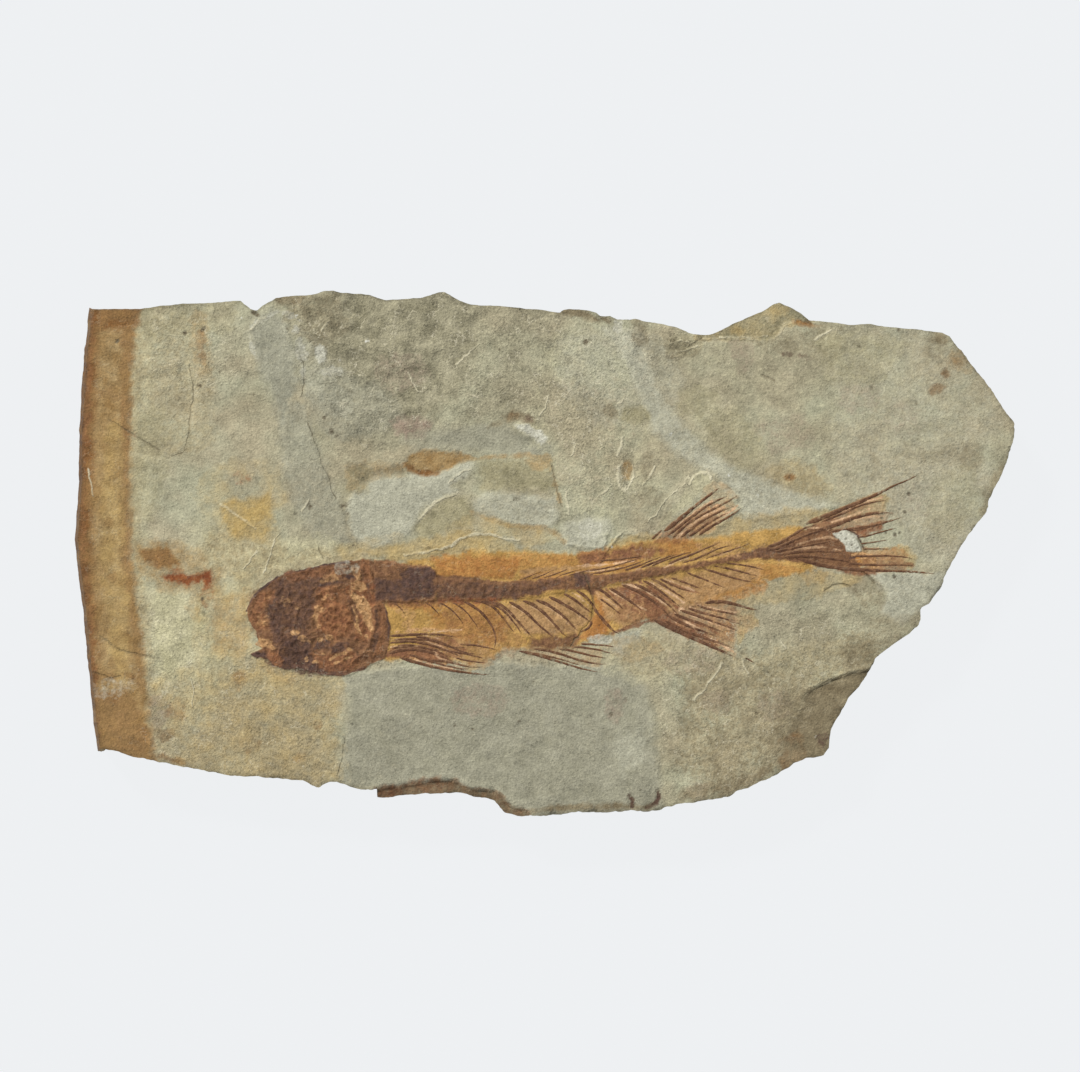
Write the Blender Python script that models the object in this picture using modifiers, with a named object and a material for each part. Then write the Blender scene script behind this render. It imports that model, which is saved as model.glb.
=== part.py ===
"""Fossil fish slab: a hand-sized piece of thin-bedded limestone with a small flattened fish on its upper face.

Stone and fish are one solid. The bone is mineralised and fast in the bed it lies on, so nothing comes apart.
The solid is a stack of beds with their own broken outlines, joined into one, and the fish is a low relief on it.

Frame, in metres: origin under the middle of the slab, on the face it rests on. +X runs from the snout to the
tail, +Y from the belly to the back, and +Z comes out of the face with the fish.
"""

import math
import random

import bmesh
import bpy

MM = 0.001

# Driving dimensions, in millimetres.
SLAB_LENGTH = 136.7
BED_CHAMFER = 0.22
BED_BITE = 0.3  # how deep each bed is set into the one below it, so that the union has no touching faces
FISH_ROOT = 0.35  # how deep the fish's relief is set into the upper bed
BACKBONE_RADIUS = 1.3
BACKBONE_PROUD = 0.5
BACKBONE_TAIL_SHARE = 0.55  # the backbone's radius at the tail, as a share of its radius behind the head
RAY_RADIUS = 0.36  # of a rib, spine or fin ray at its root
RAY_TIP_SHARE = 0.6  # the radius of its tip, as a share of that
RAY_DEPTH = 0.04  # depth of a ray's middle line below the top of the upper bed, so that no ray is undercut
RAY_SAG = 0.06  # how far a ray's middle bows to one side, as a share of its length

# Heights of the beds' upper faces above the face the slab rests on, in millimetres.
BOTTOM_BED_TOP = 2.3
LOWER_BED_TOP = 5.6
MIDDLE_BED_TOP = 7.3
UPPER_BED_TOP = 8.4

# How far each part of the fish stands above the upper bed, in millimetres.
FISH_HEIGHTS = {
    "skull": 0.5,
    "shoulder": 0.42,
    "trunk": 0.12,
    "dorsal_fin": 0.11,
    "anal_fin": 0.11,
    "pelvic_fin": 0.09,
    "pectoral_fin": 0.16,
    "tail_fin": 0.14,
}

STONE_COLOUR = (0.39, 0.37, 0.25, 1.0)
STONE_ROUGHNESS = 0.85

# The outlines are drawn on a grid, u to the right and v down. SLAB_LENGTH over the drawing's width is its scale.
DRAWING_LEFT, DRAWING_RIGHT = 75, 1015
DRAWING_TOP, DRAWING_BOTTOM = 291, 816
UNIT = SLAB_LENGTH / (DRAWING_RIGHT - DRAWING_LEFT)

# Stretches of the slab's outline, clockwise from the lower left corner.
LEFT_END = [(99, 749), (95, 720), (90, 670), (84, 610), (79, 575), (76, 550), (75, 535), (78, 500),
            (79, 450), (81, 390), (84, 350), (88, 309)]
TOP_LEFT = [(140, 309), (180, 304), (233, 301), (242, 302), (250, 310), (256, 311), (262, 306), (275, 298),
            (305, 295), (330, 291), (370, 295), (385, 300), (420, 298), (440, 292), (460, 301), (500, 306),
            (553, 312), (560, 314), (566, 310), (597, 313), (617, 319), (636, 319), (655, 323), (693, 334)]
TONGUE_OUTER = [(703, 335), (722, 330), (750, 317), (775, 304), (781, 302), (795, 309), (808, 320)]
TONGUE_INNER = [(705, 338), (750, 338), (775, 337), (785, 325), (793, 320), (808, 321)]
TOP_RIGHT = [(835, 323), (870, 324), (900, 328), (943, 333)]
RIGHT_END = [(955, 343), (975, 368), (1003, 408), (1015, 425), (1015, 432), (1008, 452), (993, 490),
             (988, 508), (974, 528), (952, 562), (941, 587), (932, 600), (920, 609), (919, 618), (910, 633),
             (880, 654)]
CORNER_OUTER = [(874, 659), (868, 672), (852, 694), (838, 716), (830, 730), (828, 748), (815, 757), (795, 763)]
CORNER_INNER = [(874, 661), (850, 674), (830, 681), (812, 690), (803, 700), (800, 712), (790, 722), (782, 742),
                (776, 762)]
BOTTOM_RIGHT = [(775, 775), (745, 788), (715, 799), (668, 806), (650, 811), (600, 811), (540, 815)]
SHELF_OUTER = [(525, 816), (505, 812), (495, 801), (475, 796), (440, 793), (400, 795), (378, 797)]
SHELF_INNER = [(527, 809), (505, 799), (495, 789), (475, 787), (452, 778), (430, 779), (400, 784), (377, 787)]
BOTTOM_LEFT = [(370, 790), (343, 783), (338, 781), (328, 783), (320, 788), (305, 781), (260, 777), (213, 772),
               (165, 763), (120, 752), (105, 749)]

WHOLE_OUTLINE = (LEFT_END + TOP_LEFT + TONGUE_OUTER + TOP_RIGHT + RIGHT_END + CORNER_OUTER + BOTTOM_RIGHT
                 + SHELF_OUTER + BOTTOM_LEFT)
ABOVE_SHELF_OUTLINE = (LEFT_END + TOP_LEFT + TONGUE_OUTER + TOP_RIGHT + RIGHT_END + CORNER_OUTER + BOTTOM_RIGHT
                       + SHELF_INNER + BOTTOM_LEFT)
FISH_BED_OUTLINE = (LEFT_END + TOP_LEFT + TONGUE_INNER + TOP_RIGHT + RIGHT_END + CORNER_INNER + BOTTOM_RIGHT
                    + SHELF_INNER + BOTTOM_LEFT)

# The beds, from the bottom up: name, outline, lower and upper face, and how far the outline is broken back.
BEDS = [
    ("bottom_bed", WHOLE_OUTLINE, 0.0, BOTTOM_BED_TOP, 0.9),
    ("lower_bed", WHOLE_OUTLINE, BOTTOM_BED_TOP - BED_BITE, LOWER_BED_TOP, 0.0),
    ("middle_bed", ABOVE_SHELF_OUTLINE, LOWER_BED_TOP - BED_BITE, MIDDLE_BED_TOP, 0.3),
    ("upper_bed", FISH_BED_OUTLINE, MIDDLE_BED_TOP - BED_BITE, UPPER_BED_TOP, 0.55),
]
BREAK_UNEVENNESS = 0.4  # share of a bed's break-back by which its edge wanders in and out

FISH_OUTLINES = {
    "skull": [(363, 561), (333, 563), (294, 573), (270, 581), (251, 602), (247, 611), (251, 624), (260, 638),
              (268, 647), (252, 655), (267, 661), (283, 670), (322, 677), (351, 677), (376, 665), (389, 655),
              (391, 635), (386, 610), (375, 585)],
    "shoulder": [(366, 562), (386, 561), (401, 566), (435, 570), (437, 598), (401, 602), (374, 600)],
    "trunk": [(382, 570), (430, 557), (470, 549), (560, 550), (600, 547), (620, 541), (655, 537), (700, 536),
              (743, 523), (808, 517), (812, 566), (787, 577), (741, 594), (711, 604), (661, 618), (625, 631),
              (589, 640), (559, 647), (518, 652), (500, 649), (468, 663), (384, 661)],
    "dorsal_fin": [(655, 538), (701, 491), (720, 489), (734, 498), (741, 507), (712, 533)],
    "anal_fin": [(654, 618), (734, 658), (740, 633), (761, 627), (754, 612), (711, 601)],
    "pelvic_fin": [(516, 648), (594, 673), (607, 667), (612, 652), (579, 642)],
    "pectoral_fin": [(383, 634), (470, 640), (487, 660), (490, 677), (386, 662)],
    "tail_fin": [(765, 547), (808, 522), (834, 514), (880, 495), (919, 477), (906, 497), (889, 507), (902, 521),
                 (889, 534), (889, 550), (908, 562), (932, 575), (863, 573), (821, 569), (787, 561)],
}
# Ribs, spines and fin rays stand in fans: first and last root, first and last tip, and how many in the fan.
RAY_FANS = {
    "ribs": ((468, 602), (556, 600), (499, 645), (583, 633), 9),
    "spines_above": ((628, 573), (690, 562), (661, 560), (729, 549), 6),
    "spines_below": ((602, 590), (738, 561), (622, 612), (764, 570), 11),
    "dorsal_rays": ((659, 536), (709, 533), (702, 492), (739, 508), 7),
    "anal_rays": ((658, 619), (708, 604), (733, 656), (753, 613), 8),
    "pelvic_rays": ((520, 650), (576, 644), (593, 671), (610, 654), 5),
    "pectoral_rays": ((388, 637), (388, 659), (469, 641), (488, 675), 7),
    "upper_tail_rays": ((772, 546), (806, 551), (916, 479), (887, 549), 7),
    "lower_tail_rays": ((792, 561), (808, 554), (929, 574), (899, 561), 4),
}
BACKBONE_LINE = [(430, 591), (480, 591), (530, 589), (586, 584), (625, 577), (661, 572), (696, 566), (732, 559),
                 (780, 552), (812, 549)]


def collection(name):
    """A new collection in the scene."""
    made = bpy.data.collections.new(name)
    bpy.context.scene.collection.children.link(made)
    return made


def placed(point):
    """A point of the drawing, in millimetres from the middle of the slab."""
    u, v = point
    middle_u = (DRAWING_LEFT + DRAWING_RIGHT) / 2
    middle_v = (DRAWING_TOP + DRAWING_BOTTOM) / 2
    return (u - middle_u) * UNIT, (middle_v - v) * UNIT


def broken_back(points, distance, seed):
    """The clockwise outline moved inwards by about distance, a little more or less at each point."""
    wander = random.Random(seed)
    moved = []
    for i, (x, y) in enumerate(points):
        before = points[i - 1]
        after = points[(i + 1) % len(points)]
        along = (after[0] - before[0], after[1] - before[1])
        length = math.hypot(*along)
        inset = distance * (1 + BREAK_UNEVENNESS * wander.uniform(-1, 1))
        moved.append((x + inset * along[1] / length, y - inset * along[0] / length))
    return moved


def curve_object(name, kind, lines, closed):
    """A curve with one spline for each line. A line's points are x, y, height and radius, in millimetres."""
    curve = bpy.data.curves.new(name, "CURVE")
    curve.dimensions = kind
    for line in lines:
        spline = curve.splines.new("POLY")
        spline.points.add(len(line) - 1)
        for target, (x, y, z, radius) in zip(spline.points, line):
            target.co = (x * MM, y * MM, z * MM, 1.0)
            target.radius = radius
        spline.use_cyclic_u = closed
    made = bpy.data.objects.new(name, curve)
    bpy.context.scene.collection.objects.link(made)
    return made


def as_mesh(source, target_collection):
    """The curve object as a closed mesh object of the same name. The curve is removed."""
    bpy.context.view_layer.update()
    evaluated = source.evaluated_get(bpy.context.evaluated_depsgraph_get())
    mesh = bpy.data.meshes.new_from_object(evaluated)
    work = bmesh.new()
    work.from_mesh(mesh)
    bmesh.ops.remove_doubles(work, verts=work.verts, dist=0.00001)
    bmesh.ops.recalc_face_normals(work, faces=work.faces)
    work.to_mesh(mesh)
    work.free()
    name = source.name
    matrix = source.matrix_world.copy()
    bpy.data.objects.remove(source)
    made = bpy.data.objects.new(name, mesh)
    made.matrix_world = matrix
    target_collection.objects.link(made)
    return made


def plate(name, points, low, high, target_collection):
    """A flat plate of that outline, from the height low to the height high, in millimetres."""
    outline = curve_object(name, "2D", [[(x, y, 0.0, 1.0) for x, y in points]], closed=True)
    outline.data.fill_mode = "BOTH"
    outline.data.extrude = (high - low) / 2 * MM
    outline.location.z = (low + high) / 2 * MM
    return as_mesh(outline, target_collection)


def chamfer(thing, width):
    """Takes the sharp edge off the plate's rim."""
    bevel = thing.modifiers.new("worn_edge", "BEVEL")
    bevel.width = width * MM
    bevel.segments = 1
    bevel.limit_method = "ANGLE"
    bevel.angle_limit = math.radians(70)


def join(thing, other):
    """Joins the other solid to this one. The other stays as a hidden guide."""
    other.hide_render = True
    other.display_type = "WIRE"
    union = thing.modifiers.new("join_" + other.name, "BOOLEAN")
    union.operation = "UNION"
    union.solver = "EXACT"
    union.use_self = True
    union.object = other


def bed(index, target_collection):
    """One bed of the stone, with its own broken outline and worn rim."""
    name, outline, low, high, break_back = BEDS[index]
    points = broken_back([placed(p) for p in outline], break_back, seed=index)
    made = plate(name, points, low, high, target_collection)
    chamfer(made, BED_CHAMFER)
    return made


def tubes(name, lines, target_collection):
    """Round tubes along the lines, with closed ends. A point's radius is the tube's own, in millimetres."""
    made = curve_object(name, "3D", lines, closed=False)
    made.data.bevel_depth = MM
    made.data.bevel_resolution = 1
    made.data.use_fill_caps = True
    return as_mesh(made, target_collection)


def backbone(target_collection):
    """The row of vertebrae as one low ridge, thinner towards the tail."""
    height = UPPER_BED_TOP + BACKBONE_PROUD - BACKBONE_RADIUS
    last = len(BACKBONE_LINE) - 1
    line = []
    for i, point in enumerate(BACKBONE_LINE):
        thinning = 1 - (1 - BACKBONE_TAIL_SHARE) * i / last
        line.append((*placed(point), height, BACKBONE_RADIUS * thinning))
    return tubes("backbone", [line], target_collection)


def between(a, b, share):
    """The point that share of the way from a to b."""
    return a[0] + (b[0] - a[0]) * share, a[1] + (b[1] - a[1]) * share


def ray(root, tip):
    """One rib, spine or fin ray from root to tip, thinner at the tip and bowed a little to one side."""
    along = (tip[0] - root[0], tip[1] - root[1])
    middle = between(root, tip, 0.5)
    middle = (middle[0] - RAY_SAG * along[1], middle[1] + RAY_SAG * along[0])
    height = UPPER_BED_TOP - RAY_DEPTH
    half_tapered = RAY_RADIUS * (1 + RAY_TIP_SHARE) / 2
    tip_radius = RAY_RADIUS * RAY_TIP_SHARE
    return [(*root, height, RAY_RADIUS), (*middle, height, half_tapered), (*tip, height, tip_radius)]


def fan(name, target_collection):
    """A fan of rays, evenly spread between its first and its last."""
    first_root, last_root, first_tip, last_tip, count = RAY_FANS[name]
    rays = []
    for i in range(count):
        share = i / (count - 1)
        root = placed(between(first_root, last_root, share))
        tip = placed(between(first_tip, last_tip, share))
        rays.append(ray(root, tip))
    return tubes(name, rays, target_collection)


def fish_parts(target_collection):
    """The fish's low relief, one closed solid for each part, rooted in the upper bed."""
    made = []
    low = UPPER_BED_TOP - FISH_ROOT
    for name, outline in FISH_OUTLINES.items():
        points = [placed(p) for p in outline]
        made.append(plate(name, points, low, UPPER_BED_TOP + FISH_HEIGHTS[name], target_collection))
    made.append(backbone(target_collection))
    for name in RAY_FANS:
        made.append(fan(name, target_collection))
    return made


def limestone():
    """Pale greenish-grey limestone, dull all over."""
    made = bpy.data.materials.new("limestone")
    made.use_nodes = True
    shader = made.node_tree.nodes["Principled BSDF"]
    shader.inputs["Base Color"].default_value = STONE_COLOUR
    shader.inputs["Roughness"].default_value = STONE_ROUGHNESS
    shader.inputs["Metallic"].default_value = 0.0
    return made


def build():
    """Makes the slab."""
    for thing in list(bpy.data.objects):
        bpy.data.objects.remove(thing)
    parts = collection("fossil_fish_slab")
    guides = collection("beds_and_fish_parts")
    slab = bed(0, parts)
    slab.name = "slab"
    for index in range(1, len(BEDS)):
        join(slab, bed(index, guides))
    for relief in fish_parts(guides):
        join(slab, relief)
    slab.data.materials.append(limestone())


build()
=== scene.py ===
"""Fossil fish slab: the finish of a limestone slab and of the small flattened fish on its face.

The slab is one closed surface, a height over its outline that carries the broken beds, the thin flakes, the
cracks and the pits. Two finer surfaces lie in it, the fish's head and its trunk, and the fine bones are thin
bodies along paths that follow the ground. What stains the stone is drawn as outlines, and every surface
stores how deep in each stain a point lies, so that one limestone material can colour them all alike.
"""

import math

import bpy
import numpy as np
from bpy.props import FloatProperty, FloatVectorProperty, IntProperty, PointerProperty
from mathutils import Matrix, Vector


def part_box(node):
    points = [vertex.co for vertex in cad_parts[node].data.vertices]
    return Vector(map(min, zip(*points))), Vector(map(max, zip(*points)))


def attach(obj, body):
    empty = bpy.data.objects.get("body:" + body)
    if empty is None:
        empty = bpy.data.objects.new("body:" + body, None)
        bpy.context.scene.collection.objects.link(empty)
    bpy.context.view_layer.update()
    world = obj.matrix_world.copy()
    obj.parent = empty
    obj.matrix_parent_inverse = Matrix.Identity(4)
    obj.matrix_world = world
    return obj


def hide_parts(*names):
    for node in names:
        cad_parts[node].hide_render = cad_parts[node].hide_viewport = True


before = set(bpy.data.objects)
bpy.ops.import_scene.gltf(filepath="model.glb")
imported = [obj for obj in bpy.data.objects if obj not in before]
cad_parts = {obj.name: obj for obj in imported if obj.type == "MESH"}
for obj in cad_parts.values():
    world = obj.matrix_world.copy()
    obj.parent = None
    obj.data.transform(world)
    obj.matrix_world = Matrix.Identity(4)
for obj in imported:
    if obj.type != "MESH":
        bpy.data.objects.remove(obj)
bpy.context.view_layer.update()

bl_info = {
    "name": "Fossil fish slab",
    "version": (1, 0, 0),
    "blender": (4, 5, 0),
    "location": "View3D > Sidebar > Fossil",
    "description": "Makes a limestone slab with a flattened fossil fish, its light and its camera",
    "category": "Add Mesh",
}

MM = 0.001
BODY = "root"
CAD_NODE = "slab"

# ---------------------------------------------------------------------------------------------------------
# The drawing. Outlines are drawn on a grid, u to the right and v down, whose scale comes from the CAD slab.

DRAWING_LEFT, DRAWING_RIGHT = 75, 1015
DRAWING_TOP, DRAWING_BOTTOM = 291, 816
DRAWING_WIDTH, DRAWING_HEIGHT = 1080, 1072
SLAB_LOW, SLAB_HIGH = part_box(CAD_NODE)
UNIT = (SLAB_HIGH.x - SLAB_LOW.x) / MM / (DRAWING_RIGHT - DRAWING_LEFT)
FACE = 8.4  # height of the fish face above the underside, in millimetres

# The slab's outline, in four stretches that meet at its corners.
LEFT_EDGE = [(99, 749), (97, 735), (95, 720), (93, 700), (90, 670), (87, 640), (84, 610), (81, 590), (79, 575),
             (77, 560), (76, 550), (75, 540), (76, 525), (78, 500), (79, 470), (79, 430), (81, 390), (84, 350),
             (88, 309)]
TOP_EDGE = [(88, 309), (140, 309), (160, 306), (180, 304), (215, 303), (233, 301), (240, 301), (247, 307),
            (250, 310), (256, 311), (262, 306), (272, 300), (275, 298), (290, 296), (305, 295), (315, 294),
            (322, 291), (332, 291), (340, 293), (360, 294), (370, 295), (378, 298), (385, 300), (405, 299),
            (420, 298), (430, 295), (438, 292), (444, 292), (450, 295), (455, 298), (460, 301), (470, 304),
            (485, 306), (500, 306), (520, 308), (540, 310), (553, 312), (560, 313), (563, 310), (570, 309),
            (590, 311), (597, 313), (600, 316), (610, 316), (617, 319), (630, 320), (636, 319), (642, 321),
            (655, 323), (665, 325), (675, 327), (685, 331), (693, 334), (703, 335), (710, 335), (722, 330),
            (735, 323), (750, 317), (765, 310), (775, 304), (781, 302), (787, 305), (795, 309), (803, 314),
            (808, 320), (820, 321), (835, 323), (850, 325), (870, 324), (885, 327), (900, 328), (920, 330),
            (935, 332), (943, 333)]
RIGHT_EDGE = [(828, 748), (829, 738), (830, 730), (838, 716), (843, 708), (847, 700), (852, 694), (860, 685),
              (868, 672), (873, 665), (874, 659), (880, 654), (890, 647), (900, 640), (910, 633), (918, 627),
              (920, 620), (919, 616), (920, 610), (922, 607), (928, 605), (932, 600), (937, 593), (941, 587),
              (944, 578), (948, 570), (957, 553), (968, 536), (980, 521), (985, 514), (988, 508), (989, 500),
              (994, 490), (1001, 478), (1006, 465), (1010, 452), (1013, 443), (1015, 432), (1015, 425),
              (1010, 417), (1003, 408), (995, 395), (985, 381), (975, 368), (965, 355), (955, 343), (950, 336),
              (943, 333)]
BOTTOM_EDGE = [(99, 749), (105, 749), (120, 752), (132, 756), (150, 760), (180, 766), (213, 772), (228, 775),
               (260, 777), (280, 778), (295, 780), (305, 781), (313, 785), (320, 788), (328, 783), (338, 781),
               (343, 783), (350, 786), (360, 789), (370, 790), (378, 789), (378, 797), (390, 797), (400, 795),
               (420, 794), (440, 793), (460, 793), (475, 796), (485, 798), (495, 801), (500, 808), (505, 812),
               (512, 815), (525, 816), (540, 815), (560, 813), (580, 812), (600, 811), (635, 810), (650, 811),
               (660, 809), (668, 806), (685, 803), (700, 801), (715, 799), (730, 796), (738, 791), (745, 788),
               (755, 784), (775, 775), (785, 769), (795, 763), (805, 759), (815, 757), (823, 755), (828, 748)]


def area(edge, strength, *points):
    """A drawn area. Its rim fades over edge millimetres to each side, and strength is its share of the colour."""
    return "area", edge, strength, points


def spot(edge, strength, u, v, half_width, half_height):
    """An oval area by its middle and half sizes, in units of the drawing."""
    turns = np.linspace(0, 2 * np.pi, 14, endpoint=False)
    ring = zip(u + half_width * np.cos(turns), v + half_height * np.sin(turns))
    return "area", edge, strength, tuple(ring)


def stroke(edge, strength, width, *points):
    """A drawn line of that width, in units of the drawing."""
    return "stroke", edge, strength, (width, points)


LENS = [(404, 464), (408, 457), (416, 453), (428, 451), (445, 451), (462, 454), (478, 459), (468, 461),
        (458, 465), (449, 470), (437, 474), (420, 473), (409, 470)]
SPALL = [(874, 662), (868, 671), (850, 674), (840, 677), (830, 681), (820, 686), (812, 690), (806, 694),
         (803, 700), (801, 708), (797, 716), (790, 724), (783, 742), (778, 762), (780, 800), (900, 800),
         (900, 662)]
TONGUE = [(698, 338), (712, 338), (728, 339), (750, 338), (765, 339), (775, 337), (780, 331), (785, 325),
          (793, 321), (800, 321), (812, 324), (818, 315), (800, 285), (760, 290), (700, 320)]
SHELF = [(376, 789), (390, 788), (400, 787), (412, 784), (430, 782), (440, 780), (452, 781), (465, 786),
         (475, 790), (485, 791), (495, 791), (500, 795), (505, 801), (512, 806), (520, 809), (527, 811),
         (535, 830), (500, 850), (360, 850), (366, 800)]

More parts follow.
